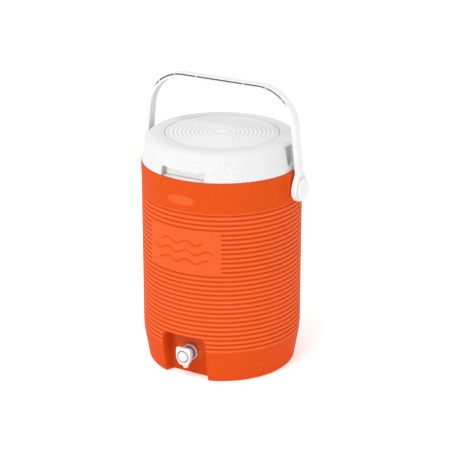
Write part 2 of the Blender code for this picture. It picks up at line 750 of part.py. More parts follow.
def tap_ring(name, inner_mm, outer_mm, low_mm, high_mm, material):
    corners = [(inner_mm, high_mm), (outer_mm, high_mm), (outer_mm, low_mm), (inner_mm, low_mm)]
    return tap_turned(name, corners, material)


def build_tap_body():
    """The front housing, the barrel through the walls and the spout, bored for the valve."""
    right = in_metres(HOUSING_OUTLINE)
    outline = right[::-1] + [(-x, z) for x, z in right]
    body = plate("tap_body", outline, HOUSING_BACK, HOUSING_FACE, (0, 0, TAP_HEIGHT), "front")
    profile = [(-right[0][1], -HOUSING_FACE), (-HOUSING_BACK_TOP, -HOUSING_BACK)]
    profile += [(OUTSIDE, -HOUSING_BACK), (OUTSIDE, -HOUSING_FACE)]
    trim(body, helper(plate("housing_side", profile, -DRUM_RADIUS, DRUM_RADIUS, (0, 0, TAP_HEIGHT), "right")))
    soften(body, 1.2 * MM)
    root, tip = (SPOUT_ROOT_RADIUS, SPOUT_ROOT), (SPOUT_RADIUS, -SPOUT_DROP)
    spout = turned("spout", [(0, SPOUT_ROOT), root, tip, (0, -SPOUT_DROP)], TAP_STEPS,
                   (0, -SPOUT_AXIS, TAP_HEIGHT))
    join(body, tap_rod("collar", COLLAR_RADIUS, COLLAR_START, HOUSING_BACK + 1 * MM))
    join(body, tap_rod("barrel", BARREL_RADIUS, BARREL_END, COLLAR_START + 1 * MM), helper(spout))
    cut(body, tap_rod("button_bore", 13 * MM, 146.9 * MM, HOUSING_FACE + OUTSIDE))
    cut(body, tap_rod("valve_chamber", 7 * MM, 133 * MM, 147.5 * MM))
    cut(body, tap_rod("seat_bore", 4.2 * MM, 129 * MM, 134 * MM))
    cut(body, tap_rod("inlet_bore", 6.8 * MM, BARREL_END - OUTSIDE, 130 * MM))
    outlet = rod("spout_bore", SPOUT_BORE, -OUTSIDE, 0, 16, (0, -SPOUT_AXIS, TAP_HEIGHT))
    cut(body, helper(outlet))
    return finish(body, TAP_WHITE)


def build_lock_nut():
    nut = rod("tap_lock_nut", NUT_RADIUS, 98.5 * MM, 107.2 * MM, 6, (0, 0, TAP_HEIGHT), "front")
    soften(nut, 0.8 * MM, 1)
    cut(nut, tap_rod("nut_bore", BARREL_RADIUS + GAP, 90 * MM, 120 * MM))
    return finish(nut, TAP_WHITE)


def build_spring():
    """A closed tube along a helix, wound round the tap's axis."""
    curve = bpy.data.curves.new("button_spring", "CURVE")
    curve.dimensions = "3D"
    curve.bevel_depth = SPRING_WIRE
    curve.bevel_resolution = 1
    curve.use_fill_caps = True
    spline = curve.splines.new("POLY")
    count = int(SPRING_TURNS * 14) + 1
    spline.points.add(count - 1)
    for i, point in enumerate(spline.points):
        share = i / (count - 1)
        turn = 2 * pi * SPRING_TURNS * share
        height = SPRING_LOW + (SPRING_HIGH - SPRING_LOW) * share
        point.co = (SPRING_RADIUS * cos(turn), SPRING_RADIUS * sin(turn), height, 1)
    return finish(place("button_spring", curve, (0, 0, TAP_HEIGHT), "front"), STEEL)


def build_button():
    """A slightly domed cap with a hollow underside for the spring."""
    face, back, radius = BUTTON_FACE / MM, BUTTON_BACK / MM, BUTTON_RADIUS / MM
    outline = [(0, face), (radius - 3, face - 0.1), (radius - 0.8, face - 0.5), (radius, face - 1.3)]
    outline += [(radius, back), (radius - 2.5, back), (radius - 2.5, face - 1.6), (0, face - 1.6)]
    return tap_turned("tap_button", outline, TAP_WHITE)


def build_stem():
    """A rod from the button to the valve's head, which the seal sits behind."""
    outline = [(0, 155.6), (2.2, 155.6), (2.2, 128), (6, 128), (6, 126.2), (0, 126.2)]
    return tap_turned("valve_stem", outline, TAP_WHITE)


def build_tap():
    build_tap_body()
    flange = [(14.2, 130), (16, 130), (16.4, 124.5), (9.3, 124.5), (9.3, 126.5), (14.2, 126.5)]
    tap_turned("tap_flange", flange, TAP_WHITE)
    sleeve = [(11.3, 140.3), (12.3, 140.3), (12.3, 128.2), (13.9, 128.2), (13.9, 126.8), (11.3, 126.8)]
    tap_turned("tap_flange_ring", sleeve, GREY)
    tap_ring("tap_outer_washer", 9.3, 15.5, 122.3, 124.2, RUBBER)
    tap_ring("tap_inner_washer", 9.3, 14.0, 107.5, 109.7, RUBBER)
    tap_ring("tap_bonnet", 2.5, 12.6, 147.2, 148.7, TAP_WHITE)
    tap_ring("stem_o_ring", 2.5, 4.4, 145.2, 146.9, RUBBER)
    tap_ring("button_ring", 10.7, 12.7, 149.3, 155.7, GREY)
    build_lock_nut()
    build_spring()
    seal = tap_ring("valve_seal", 2.5, 5.8, 128.3, 129.7, RUBBER)
    axis = axis_empty("button_axis", (0, 0, TAP_HEIGHT))
    carry(axis, build_button(), build_stem(), seal)


def build_drum():
    build_shell()
    build_liner()
    build_foam()
    build_fill_plug()


def build_handle():
    axis = axis_empty("handle_axis", (0, 0, PIVOT_HEIGHT))
    carry(axis, build_bail(), build_cap("left"), build_cap("right"))
    for side in ("left", "right"):
        build_stud(side)
        build_pivot_ring("pivot_washer", side, 12 * MM, EAR_FACE + GAP, EYE_INNER_FACE - GAP, GREY)
        build_pivot_ring("pivot_push_nut", side, STUD_HEAD_RADIUS, BOSS_FACE - 1.8 * MM,
                         BOSS_FACE - GAP, STEEL)


def build_lid():
    axis = axis_empty("lid_axis", (0, 0, DRUM_TOP))
    carry(axis, build_lid_shell(), build_top_plate(), build_plug(), build_lid_foam(), build_gasket())


build_drum()
build_handle()
build_lid()
build_tap()
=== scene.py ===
"""Looks of the insulated drinks jug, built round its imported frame.

Metres, in the frame's own axes: +Z up, the tap faces -Y, and the bail's pivots lie on X.
"""

import json
from math import cos, pi, radians, sin, tan

import bpy
import numpy as np
from mathutils import Euler, Matrix, Vector


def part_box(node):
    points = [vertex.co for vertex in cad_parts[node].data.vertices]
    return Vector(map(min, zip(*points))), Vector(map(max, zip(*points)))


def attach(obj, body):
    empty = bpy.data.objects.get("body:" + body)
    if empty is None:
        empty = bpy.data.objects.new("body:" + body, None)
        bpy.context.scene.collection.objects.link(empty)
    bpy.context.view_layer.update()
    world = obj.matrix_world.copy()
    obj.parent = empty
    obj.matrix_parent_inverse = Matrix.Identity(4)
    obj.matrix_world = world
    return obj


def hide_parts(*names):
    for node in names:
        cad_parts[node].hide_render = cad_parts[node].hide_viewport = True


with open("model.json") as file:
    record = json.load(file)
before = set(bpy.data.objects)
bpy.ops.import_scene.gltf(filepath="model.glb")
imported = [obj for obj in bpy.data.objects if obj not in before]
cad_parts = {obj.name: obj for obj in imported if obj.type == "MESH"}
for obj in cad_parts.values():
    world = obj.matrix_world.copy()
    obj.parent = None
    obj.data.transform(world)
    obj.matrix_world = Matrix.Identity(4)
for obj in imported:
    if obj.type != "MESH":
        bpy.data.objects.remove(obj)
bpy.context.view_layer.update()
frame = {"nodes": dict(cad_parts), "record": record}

MM = 0.001

# Driving sizes, read from the frame
_, SHELL_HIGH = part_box("outer_shell")
LID_LOW, LID_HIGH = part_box("lid_shell")
PLATE_LOW, PLATE_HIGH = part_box("lid_top_plate")
BAIL_LOW, BAIL_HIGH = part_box("handle_bail")
CAP_LOW, CAP_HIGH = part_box("handle_cap_right")
BUTTON_LOW, BUTTON_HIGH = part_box("tap_button")
RING_LOW, RING_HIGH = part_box("button_ring")
BODY_LOW, BODY_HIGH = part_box("tap_body")
FLANGE_LOW, FLANGE_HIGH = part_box("tap_flange")
FLANGE_RING_LOW, FLANGE_RING_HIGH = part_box("tap_flange_ring")

# Drum
DRUM_RADIUS = SHELL_HIGH.y
DRUM_TOP = SHELL_HIGH.z
SHELL_WALL = 4.8 * MM
RIM_ROUND = 1.4 * MM
TAPER_TOP = 68 * MM
TAPER_ROUND = 16 * MM
FOOT_RADIUS = 149.5 * MM  # where the taper meets the foot's fillet
FOOT_FILLET = 5 * MM
FOOT_RING_RADIUS = 118 * MM
BASE_RECESS = 3 * MM
SHELL_FLOOR = 6.5 * MM

# Ribs
GROOVE_COUNT = 30
GROOVE_PITCH = 9.61 * MM
TOP_GROOVE = 352.8 * MM
GROOVE_DEPTH = 2.2 * MM
GROOVE_HALF_WIDTH = 2.5 * MM
RIB_CROWN = 0.6 * MM  # the part of the groove's depth that rounds the whole rib

# Front panel with its engraved waves, and the badge
PANEL_HALF_WIDTH = 79.5 * MM
PANEL_PROUD = 0.1 * MM
PANEL_LOW = 230.8 * MM
PANEL_HIGH = 321 * MM
PANEL_EDGE = 1.2 * MM
WAVE_HEIGHTS = (256 * MM, 275 * MM, 294 * MM)
WAVE_HALF_LENGTHS = (54 * MM, 63 * MM, 45 * MM)
WAVE_LENGTH = 42 * MM
WAVE_SWING = 4.2 * MM
WAVE_HALF_WIDTH = 3 * MM
WAVE_DEPTH = 1.4 * MM
BADGE_HALF_WIDTH = 29.5 * MM
BADGE_HALF_HEIGHT = 9.5 * MM
BADGE_HEIGHT = 380 * MM
BADGE_DEPTH = 0.8 * MM
BADGE_BEAD = 3 * MM  # how wide each of the bead's two slopes is
BEAD_CREST = 0.2  # half of its flat crest, in slopes
MOAT_END = 3.2  # from the oval outwards, in slopes

# Tap recess
RECESS_HALF_WIDTH = 44.5 * MM
RECESS_BACK = 122 * MM
RECESS_FLARE = 0.12
RECESS_CEILING = 87 * MM  # where the ceiling meets the back wall
CEILING_STEEPNESS = 0.7  # against the side walls' flare
RECESS_CORNER = 14 * MM
RECESS_BACK_ROUND = 22 * MM  # where the walls run into the back
RECESS_MOUTH_ROUND = 24 * MM  # where they run out into the drum's side
RECESS_FOOT = 2 * MM  # the round edge where its back wall meets the base
BACK_DEPTH = 33 * MM  # how deep the recess's back wall lies below the drum's side
RECESS_WALL = 3.5 * MM
BY_RECESS = (54 * MM, 96 * MM)  # how far to each side and up the recess's painted light and shade reach over the drum

# Ears that carry the bail
PIVOT_HEIGHT = (CAP_LOW.z + CAP_HIGH.z) / 2
EAR_FACE = SHELL_HIGH.x
EAR_HALF_WIDTH = 24 * MM
EAR_EDGE = 4 * MM

# Lid
LID_TOP = LID_HIGH.z
LID_RADIUS = LID_HIGH.y
LID_SHOULDER = 133.5 * MM
LID_FILLET = 18 * MM
LID_WALL = 3 * MM
LID_LEDGE = 104 * MM
PLATE_SEAT = LID_TOP - 2.3 * MM
NOTCH_HALF_WIDTH = 47 * MM
NOTCH_BACK = 137 * MM
NOTCH_TOP = 437.5 * MM
SIDE_RECESS_BACK = 144 * MM
SIDE_RECESS_HALF_WIDTH = 11 * MM
SIDE_RECESS_LOW = 431.5 * MM
SIDE_RECESS_HIGH = 466 * MM
SIDE_RECESS_SLOPE = 0.4  # of its sides, against its ends

# Lid's ringed plate
PLATE_RADIUS = PLATE_HIGH.x
RING_COUNT = 10
RING_PITCH = 8.4 * MM
FIRST_RING = 25 * MM
RING_HEIGHT = 1.2 * MM
RING_EDGE = 2 * MM  # how far the ridges take to die out
RIM_DROP = 0.3 * MM
PLATE_ROUND = 0.5 * MM
LAST_RING = FIRST_RING + (RING_COUNT - 1) * RING_PITCH

# Bail
BAIL_TOP = BAIL_HIGH.z
BAIL_OUTER_AT_PIVOT = 180.6 * MM
BAIL_SPLAY = radians(6.2)
BAIL_CORNER = 82.5 * MM
BAIL_THICKNESS = 9 * MM
BAIL_HALF_WIDTH = 11 * MM
BAIL_EDGE = 0.7 * MM
BAIL_CORNER_MIDDLE = 140 * MM  # along the strap; the painted shade on its inner face is darkest there
BAIL_CORNER_SHADE = 60 * MM
SLOT_INSETS = (0.8 * MM, 4 * MM)
SLOT_DEPTH = 3.5 * MM
SLOT_END = 163 * MM
SLOT_TAPER = 18 * MM
SLOT_RIBS = (52.5 * MM, 103 * MM, 144.5 * MM)
SLOT_RIB_HALF = 1.2 * MM
SLOT_TIP = 0.15  # how wide it stands open at its ends, as a share
EYE_RADIUS = PIVOT_HEIGHT - BAIL_LOW.z
EYE_INNER_FACE = 167.2 * MM
EYE_OUTER_FACE = 179.5 * MM
EYE_EDGE = 2.6 * MM
EYE_BORE = 6.3 * MM
EYE_FOOT_ROUND = 3 * MM
WEB_TOP = 36 * MM  # above the pivot, where the strap starts to widen into its eye
WEB_FOOT = 9.8 * MM  # above the pivot, where it meets the eye's circle
WEB_FOOT_HALF = 23 * MM
WEB_BLEND = 22 * MM  # over which the faces turn from the splay to upright

# Knobs over the pivots
CAP_LAP = 0.2 * MM  # over the eye's rounded edge
CAP_HOLLOW_RADIUS = 12 * MM
CAP_HOLLOW_DEPTH = 5 * MM

# Tap, along its own axis
TAP_HEIGHT = (BUTTON_LOW.z + BUTTON_HIGH.z) / 2
HOUSING_FACE = -BODY_LOW.y
HOUSING_BACK = 143 * MM
HOUSING_CORNER = 5 * MM
HOUSING_LEAN = 4.5 * MM  # how much lower its top lies at the back than in front
COLLAR_RADIUS = 10.6 * MM
COLLAR_END = 126.8 * MM
BARREL_RADIUS = 9 * MM
BARREL_END = -BODY_HIGH.y
SPOUT_AXIS = 144 * MM
SPOUT_TIP = BODY_LOW.z
OUTLET_RADIUS = 3.4 * MM
OUTLET_LENGTH = 60 * MM
# Bores along the axis, as (radius, start, end), from the inlet to the button's well
TAP_BORES = (
    (6.8 * MM, BARREL_END - 10 * MM, 130 * MM),
    (4.2 * MM, 129 * MM, 134 * MM),
    (7 * MM, 133 * MM, 147.5 * MM),
    (13 * MM, 146.9 * MM, HOUSING_FACE + 20 * MM),
)
FUSE_VOXEL = 0.5 * MM

# Camera: where it stands, from the centre of the base
CAMERA_AZIMUTH = radians(30)
CAMERA_DISTANCE = 3.0773
CAMERA_HEIGHT = 1.4291
CAMERA_PITCH = radians(20.5445)
CAMERA_LENS = 130.67
CAMERA_SENSOR = 36  # millimetres, as the lens
CAMERA_SHIFT = (0.0067, 0.0011)

# Studio: each sun as (azimuth, elevation, strength, spread), in degrees
KEY_SUN = (-14, 53, 1.34, 35)
FILL_SUN = (80, 35, 0.25, 60)
SKY_LIGHT = 0.81
FLOOR_GLOW = 0.28  # lifts the shadow on the white floor
FLOOR_REACH = 40  # from the middle to each side

# Tones of painted light, from -1 painted shade in a hollow over 0 plain to 1 painted highlight
# painted shade in the ribs' grooves
GROOVE_PAINTED_SHADE = -0.5
# painted highlight on the ribs' crests
CREST_PAINTED_HIGHLIGHT = 0.7
# painted highlight that lightens and whitens the front panel
PANEL_PAINTED_HIGHLIGHT = 0.45
# painted highlight over the badge's oval and bead
BADGE_PAINTED_HIGHLIGHT = 0.5
# painted light on the tap recess's back wall and painted shade on its side walls
RECESS_BACK_PAINTED_LIGHT = 0.45
RECESS_WALL_PAINTED_SHADE = -0.35
# painted shade in the lid's side recesses
SIDE_RECESS_PAINTED_SHADE = -0.45
# painted shade in the gap round the lid's plate
LID_GAP_PAINTED_SHADE = -0.4
# painted highlight on the plate's ridges and painted shade between them
PLATE_RIDGE_PAINTED_LIGHT = 0.75
# painted highlight on the plate's flat middle
PLATE_MIDDLE_PAINTED_HIGHLIGHT = 0.5
# painted shade on the bail's inner face, most at its corners
STRAP_INNER_PAINTED_SHADE = -0.06
STRAP_CORNER_PAINTED_SHADE = -0.36

FACING = {"up": (0, 0, 0), "front": (pi / 2, 0, 0), "right": (0, pi / 2, 0), "left": (0, -pi / 2, 0)}


# ---- Materials ------------------------------------------------------------------------------

class Shader:
    """A node material under construction, on object coordinates."""

    def __init__(self, name, colour, roughness, metallic=0.0):
        self.material = bpy.data.materials.new(name)
        self.material.use_nodes = True
        self.material.diffuse_color = (*colour, 1)
        self.nodes = self.material.node_tree.nodes
        self.links = self.material.node_tree.links
        self.surface = self.nodes["Principled BSDF"]
        self.surface.inputs["Base Color"].default_value = (*colour, 1)
        self.surface.inputs["Roughness"].default_value = roughness
        self.surface.inputs["Metallic"].default_value = metallic
        self.where = self.nodes.new("ShaderNodeTexCoord").outputs["Object"]

    def noise(self, size, detail=3.0):
        """Noise whose blotches are about that size in metres."""
        made = self.nodes.new("ShaderNodeTexNoise")
        made.inputs["Scale"].default_value = 1 / size
        made.inputs["Detail"].default_value = detail
        self.links.new(self.where, made.inputs["Vector"])
        return made.outputs["Fac"]

    def spread(self, value, low, high, start=0.3, end=0.7):
        """The value's middle range, stretched to low..high."""
        made = self.nodes.new("ShaderNodeMapRange")
        made.inputs["From Min"].default_value = start
        made.inputs["From Max"].default_value = end
        made.inputs["To Min"].default_value = low
        made.inputs["To Max"].default_value = high
        self.links.new(value, made.inputs["Value"])
        return made.outputs["Result"]

    def mark(self, name):
        """A share that the mesh holds at each point, such as tone; 0 where it holds none."""
        made = self.nodes.new("ShaderNodeAttribute")
        made.attribute_name = name
        return made.outputs["Fac"]

    def ramp(self, share, colours):
        """Colours spaced evenly over a share of 0 to 1."""
        made = self.nodes.new("ShaderNodeValToRGB")
        stops = made.color_ramp.elements
        while len(stops) < len(colours):
            stops.new(0.5)
        for i, (stop, colour) in enumerate(zip(stops, colours)):
            stop.position = i / (len(colours) - 1)
            stop.color = (*colour, 1)
        self.links.new(share, made.inputs["Fac"])
        return made.outputs["Color"]

    def tinted(self, colour, tint, share):
        """The colour multiplied by the tint, as far as the share says."""
        made = self.nodes.new("ShaderNodeMix")
        made.data_type = "RGBA"
        made.blend_type = "MULTIPLY"
        sockets = {socket.identifier: socket for socket in made.inputs}
        self.links.new(share, made.inputs["Factor"])
        self.links.new(colour, sockets["A_Color"])
        self.links.new(tint, sockets["B_Color"])
        return {socket.identifier: socket for socket in made.outputs}["Result_Color"]

    def colour(self, value):
        self.links.new(value, self.surface.inputs["Base Color"])

    def rough(self, value):
        self.links.new(value, self.surface.inputs["Roughness"])

    def relief(self, height, depth, share=None):
        """A bump of that depth in metres, laid over the bumps that are there."""
        made = self.nodes.new("ShaderNodeBump")
        made.inputs["Strength"].default_value = 0.6
        made.inputs["Distance"].default_value = depth
        if share:
            self.links.new(share, made.inputs["Strength"])
        self.links.new(height, made.inputs["Height"])
        before = self.surface.inputs["Normal"]
        if before.is_linked:
            self.links.new(before.links[0].from_socket, made.inputs["Normal"])
        self.links.new(made.outputs["Normal"], before)


def shade(colour, factor):
    return tuple(min(1.0, value * factor) for value in colour)


def moulded(name, tones, roughness, grain, depth, gloss=0.06):
    """Moulded plastic. Its tones run from painted shade in a hollow over plain to a painted highlight on
    a raised edge, as the mesh's tone says. The grain shows strongly only where a mesh marks it."""
    made = Shader(name, tones[1], roughness)
    made.surface.inputs["Specular IOR Level"].default_value = gloss
    fine = made.noise(grain, 3)
    wide = made.noise(grain * 6, 2)
    grained = made.spread(made.mark("grain"), 0.3, 1, 0, 1)
    # the tone picks painted shade, the plain colour or a painted highlight
    plain = made.ramp(made.spread(made.mark("tone"), 0, 1, -1, 1), tones)
    mottle = made.spread(fine, 0.9, 1.08)
    made.colour(made.tinted(plain, mottle, grained))
    made.rough(made.spread(wide, roughness - 0.05, roughness + 0.07))
    made.relief(wide, depth * 2)
    made.relief(fine, depth, grained)
    return made.material


def foam():
    """Cut polyurethane foam with open cells."""
    colour = (0.80, 0.66, 0.36)
    made = Shader("foam", colour, 0.9)
    cells = made.nodes.new("ShaderNodeTexVoronoi")
    cells.inputs["Scale"].default_value = 500
    made.links.new(made.where, cells.inputs["Vector"])
    distance = cells.outputs["Distance"]
    # darker towards each cell's middle, where the bump sinks: painted shade in the pits
    share = made.spread(distance, 0, 1, 0, 0.6)
    made.colour(made.ramp(share, [shade(colour, 0.72), shade(colour, 1.06)]))
    made.relief(distance, 0.6 * MM)
    return made.material


def rubber():
    """Black sealing rubber with a little dust on it."""
    colour = (0.05, 0.05, 0.055)
    made = Shader("seal_rubber", colour, 0.7)
    dust = made.noise(4 * MM)
    made.colour(made.ramp(made.spread(dust, 0, 1), [colour, shade(colour, 1.7)]))
    made.rough(made.spread(dust, 0.62, 0.8))
    made.relief(made.noise(0.8 * MM), 0.05 * MM)
    return made.material


def steel():
    """Bright spring wire with faint stains."""
    colour = (0.55, 0.56, 0.58)
    made = Shader("spring_steel", colour, 0.3, 1.0)
    stain = made.noise(2 * MM)
    made.colour(made.ramp(made.spread(stain, 0, 1), [shade(colour, 0.85), shade(colour, 1.1)]))
    made.rough(made.spread(stain, 0.24, 0.42))
    made.relief(made.noise(0.4 * MM), 0.02 * MM)
    return made.material


def floor_paint():
    """White studio paint with a very slight unevenness, which glows a little."""
    made = Shader("studio_floor", grey(0.97), 0.9)
    made.colour(made.ramp(made.noise(0.4), [grey(0.965), grey(0.975)]))
    made.surface.inputs["Emission Strength"].default_value = FLOOR_GLOW
    return made.material


def grey(value):
    return value, value, value


# Each list: a painted-shade copy, the plain colour and a painted-highlight copy of one plastic, picked
# by tone
ORANGE_SHADED_PLAIN_LIT = [(0.50, 0.040, 0.004), (0.645, 0.074, 0.0095), (0.80, 0.145, 0.045)]
LID_SHADED_PLAIN_LIT = [grey(0.33), grey(0.69), grey(0.97)]
HANDLE_SHADED_PLAIN_LIT = [(0.22, 0.225, 0.23), grey(0.75), grey(0.82)]
LINER_TAP_SHADED_PLAIN_LIT = [grey(0.45), grey(0.72), grey(0.80)]
RING_SHADED_PLAIN_LIT = [(0.10, 0.12, 0.14), (0.24, 0.27, 0.30), (0.34, 0.37, 0.40)]

MATERIALS = {
    "orange_shell": moulded("orange_shell", ORANGE_SHADED_PLAIN_LIT, 0.5, 2.6 * MM, 0.3 * MM, 0.02),
    "white_lid": moulded("white_lid", LID_SHADED_PLAIN_LIT, 0.5, 2.8 * MM, 0.3 * MM),
    "white_handle": moulded("white_handle", HANDLE_SHADED_PLAIN_LIT, 0.38, 1.5 * MM, 0.05 * MM),
    "white_liner": moulded("white_liner", LINER_TAP_SHADED_PLAIN_LIT, 0.35, 1.2 * MM, 0.05 * MM),
    "white_tap": moulded("white_tap", LINER_TAP_SHADED_PLAIN_LIT, 0.3, 0.9 * MM, 0.03 * MM),
    "grey_ring": moulded("grey_ring", RING_SHADED_PLAIN_LIT, 0.5, 0.8 * MM, 0.03 * MM),
    "foam": foam(),
    "seal_rubber": rubber(),
    "spring_steel": steel(),
}


# ---- Builders -------------------------------------------------------------------------------

def soft_max(a, b, width):
    """The larger of two values, with a round corner where they meet."""
    near = np.maximum(width - np.abs(a - b), 0) / width
    return np.maximum(a, b) + near**2 * width / 4


def ease(value):
    """0 below 0, 1 above 1, and smooth between."""
    held = np.clip(value, 0, 1)
    return held * held * (3 - 2 * held)


def stations(*spans):
    """Values that follow each other through the spans; a span is (start, end, longest step)."""
    parts = []
    for start, end, step in spans:
        count = max(1, round(abs(end - start) / step))
        parts.append(np.linspace(start, end, count + 1)[:-1])
    return np.append(np.concatenate(parts), spans[-1][1])


def add_mesh(name, verts, faces, sharp_angle=None):
    mesh = bpy.data.meshes.new(name)
    mesh.from_pydata([tuple(v) for v in verts], [], faces)
    mesh.validate()
    mesh.shade_smooth()
    if sharp_angle:
        mesh.set_sharp_from_angle(angle=radians(sharp_angle))
    made = bpy.data.objects.new(name, mesh)
    bpy.context.scene.collection.objects.link(made)
    return made


def skin(name, rows, poles=None, sharp_angle=None):
    """A closed mesh through rings of points. Two poles close its ends; without them the last ring
    joins the first. The rings run anticlockwise as seen from the way that the rows go."""
    rows = np.asarray(rows, float)
    count, around = rows.shape[:2]
    here = np.arange(around)
    after = np.roll(here, -1)
    faces = []
    for i in range(count if poles is None else count - 1):
        low, high = i * around, (i + 1) % count * around
        quads = np.stack([low + here, low + after, high + after, high + here], axis=1)
        faces.extend(quads.tolist())
    verts = rows.reshape(-1, 3)
    if poles is not None:
        verts = np.concatenate([verts, np.asarray(poles, float)])
        start, end, last = len(verts) - 2, len(verts) - 1, (count - 1) * around
        faces.extend([start, b, a] for a, b in zip(here.tolist(), after.tolist()))
        faces.extend([end, last + a, last + b] for a, b in zip(here.tolist(), after.tolist()))
    return add_mesh(name, verts, faces, sharp_angle)


def turned(name, outline, steps=96, centre=(0, 0, 0), facing="up", sharp_angle=30):
    """A solid of revolution. Its outline runs up the outside from a first to a last point on the
    axis; one that stays off the axis is closed on itself."""
    points = np.asarray(outline, float)
    on_axis = points[0][0] == 0
    ring = points[1:-1] if on_axis else points
    turns = np.linspace(0, 2 * pi, steps, endpoint=False)
    across = np.stack([np.cos(turns), np.sin(turns)], axis=1)
    rows = [np.column_stack([r * across, np.full(steps, z)]) for r, z in ring]
    poles = [(0, 0, points[0][1]), (0, 0, points[-1][1])] if on_axis else None
    made = skin(name, rows, poles, sharp_angle)
    made.data.transform(Matrix.Translation(centre) @ Euler(FACING[facing]).to_matrix().to_4x4())
    return made


def rounded(outline, radius, steps=4):
    """The outline with each inner corner replaced by a round one; its first and last points stay."""
    points = [Vector(p) for p in outline]
    made = [points[0]]
    for before, corner, after in zip(points, points[1:], points[2:]):
        reach_in = min(radius, (before - corner).length * 0.45)
        reach_out = min(radius, (after - corner).length * 0.45)
        start = corner + (before - corner).normalized() * reach_in
        end = corner + (after - corner).normalized() * reach_out
        for i in range(steps + 1):
            t = i / steps
            made.append(start * (1 - t) ** 2 + corner * 2 * t * (1 - t) + end * t * t)
    made.append(points[-1])
    return [tuple(p) for p in made]


def apply_modifiers(made):
    graph = bpy.context.evaluated_depsgraph_get()
    mesh = bpy.data.meshes.new_from_object(made.evaluated_get(graph))
    old = made.data
    made.modifiers.clear()
    made.data = mesh
    bpy.data.meshes.remove(old)
    return made


def combine(operation, target, tools):
    """Joins or cuts the target with the tools, which are used up."""
    for tool in tools:
        boolean = target.modifiers.new(operation.lower(), "BOOLEAN")
        boolean.operation = operation
        boolean.solver = "EXACT"
        boolean.object = tool
    apply_modifiers(target)
    for tool in tools:
        bpy.data.objects.remove(tool)
    return target


def points_of(made):
    """A mesh's points as three arrays."""
    flat = np.empty(len(made.data.vertices) * 3)
    made.data.vertices.foreach_get("co", flat)
    return flat.reshape(-1, 3).T


def mark(made, name, shares):
    """Keeps a share at each point of the mesh, for its material."""
    attribute = made.data.attributes.new(name, "FLOAT", "POINT")
    attribute.data.foreach_set("value", np.asarray(shares, np.float32).ravel())


def dress(made, body, slot, *replaced):
    """The last step of a piece: its material, which its slot names, its body and the CAD nodes it stands
    for.
    """
    made.data.materials.clear()
    made.data.materials.append(MATERIALS[slot])
    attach(made, body)
    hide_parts(*replaced)
    return made


# ---- Drum -----------------------------------------------------------------------------------

def drum_radius(z):
    """The drum's smooth side: upright, leaning in below, with a round foot."""
    lean = (DRUM_RADIUS - FOOT_RADIUS) / (TAPER_TOP - FOOT_FILLET)
    taper = soft_max(TAPER_TOP - z, 0, TAPER_ROUND) * lean
    below = np.clip(FOOT_FILLET - z, 0, FOOT_FILLET)
    foot = FOOT_FILLET - np.sqrt(FOOT_FILLET**2 - below**2)
    return DRUM_RADIUS - taper - foot


def groove_depth(z):
    """How deep the side lies below the ribs' crests."""
    number = np.clip(np.round((TOP_GROOVE - z) / GROOVE_PITCH), 0, GROOVE_COUNT - 1)
    away = np.abs(z - (TOP_GROOVE - number * GROOVE_PITCH))
    groove = 0.5 + 0.5 * np.cos(pi * np.clip(away / GROOVE_HALF_WIDTH, 0, 1))
    crown = 0.5 + 0.5 * np.cos(2 * pi * np.clip(away / GROOVE_PITCH, 0, 0.5))
    return (GROOVE_DEPTH - RIB_CROWN) * groove + RIB_CROWN * crown


def wave_depth(x, z):
    """Three engraved water lines on the front panel."""
    depth = np.zeros_like(x)
    for height, half_length in zip(WAVE_HEIGHTS, WAVE_HALF_LENGTHS):
        turn = 2 * pi * x / WAVE_LENGTH
        slope = WAVE_SWING * 2 * pi / WAVE_LENGTH * np.cos(turn)
        away = np.abs(z - height - WAVE_SWING * np.sin(turn)) / np.sqrt(1 + slope**2)
        past = np.maximum(np.abs(x) - half_length, 0)
        line = ease(1 - np.hypot(away, past) / WAVE_HALF_WIDTH)
        depth = np.maximum(depth, line * WAVE_DEPTH)
    return depth


def badge_reach(x, z):
    """How far a point lies outside the badge's oval bead; inside it is negative."""
    reach = np.hypot(x / BADGE_HALF_WIDTH, (z - BADGE_HEIGHT) / BADGE_HALF_HEIGHT)
    return (reach - 1) * BADGE_HALF_HEIGHT


def badge_depth(x, z):
    """A shallow blank oval inside a bead, which a soft moat sets off."""
    reach = badge_reach(x, z)
    inside = BADGE_DEPTH * ease(-reach / BADGE_BEAD - BEAD_CREST)
    moat = ease(reach / BADGE_BEAD - BEAD_CREST) * ease(MOAT_END - reach / BADGE_BEAD)
    return inside + BADGE_DEPTH / 2 * moat


def panel_share(x, y, z):
    """1 on the front panel, 0 off it, with a soft edge."""
    inside = np.minimum(PANEL_HALF_WIDTH - np.abs(x), np.minimum(z - PANEL_LOW, PANEL_HIGH - z))
    return np.where(y < 0, ease(inside / PANEL_EDGE), 0)


def outside_radius(turn, z):
    """The drum's outside, with its ribs, panel, badge and ears; turns are counted from the front."""
    radius = drum_radius(z)
    x, y = radius * np.sin(turn), -radius * np.cos(turn)
    panel = panel_share(x, y, z)
    depth = groove_depth(z) * (1 - panel) + (wave_depth(x, z) - PANEL_PROUD) * panel
    radius = radius - depth - np.where(y < 0, badge_depth(x, z), 0)
    below = np.minimum(z - PIVOT_HEIGHT, 0)
    ear = ease((EAR_HALF_WIDTH - np.hypot(y, below) + EAR_EDGE / 2) / EAR_EDGE)
    across = np.maximum(np.abs(np.sin(turn)), 0.5)
    return radius + np.maximum(EAR_FACE / across - radius, 0) * ear


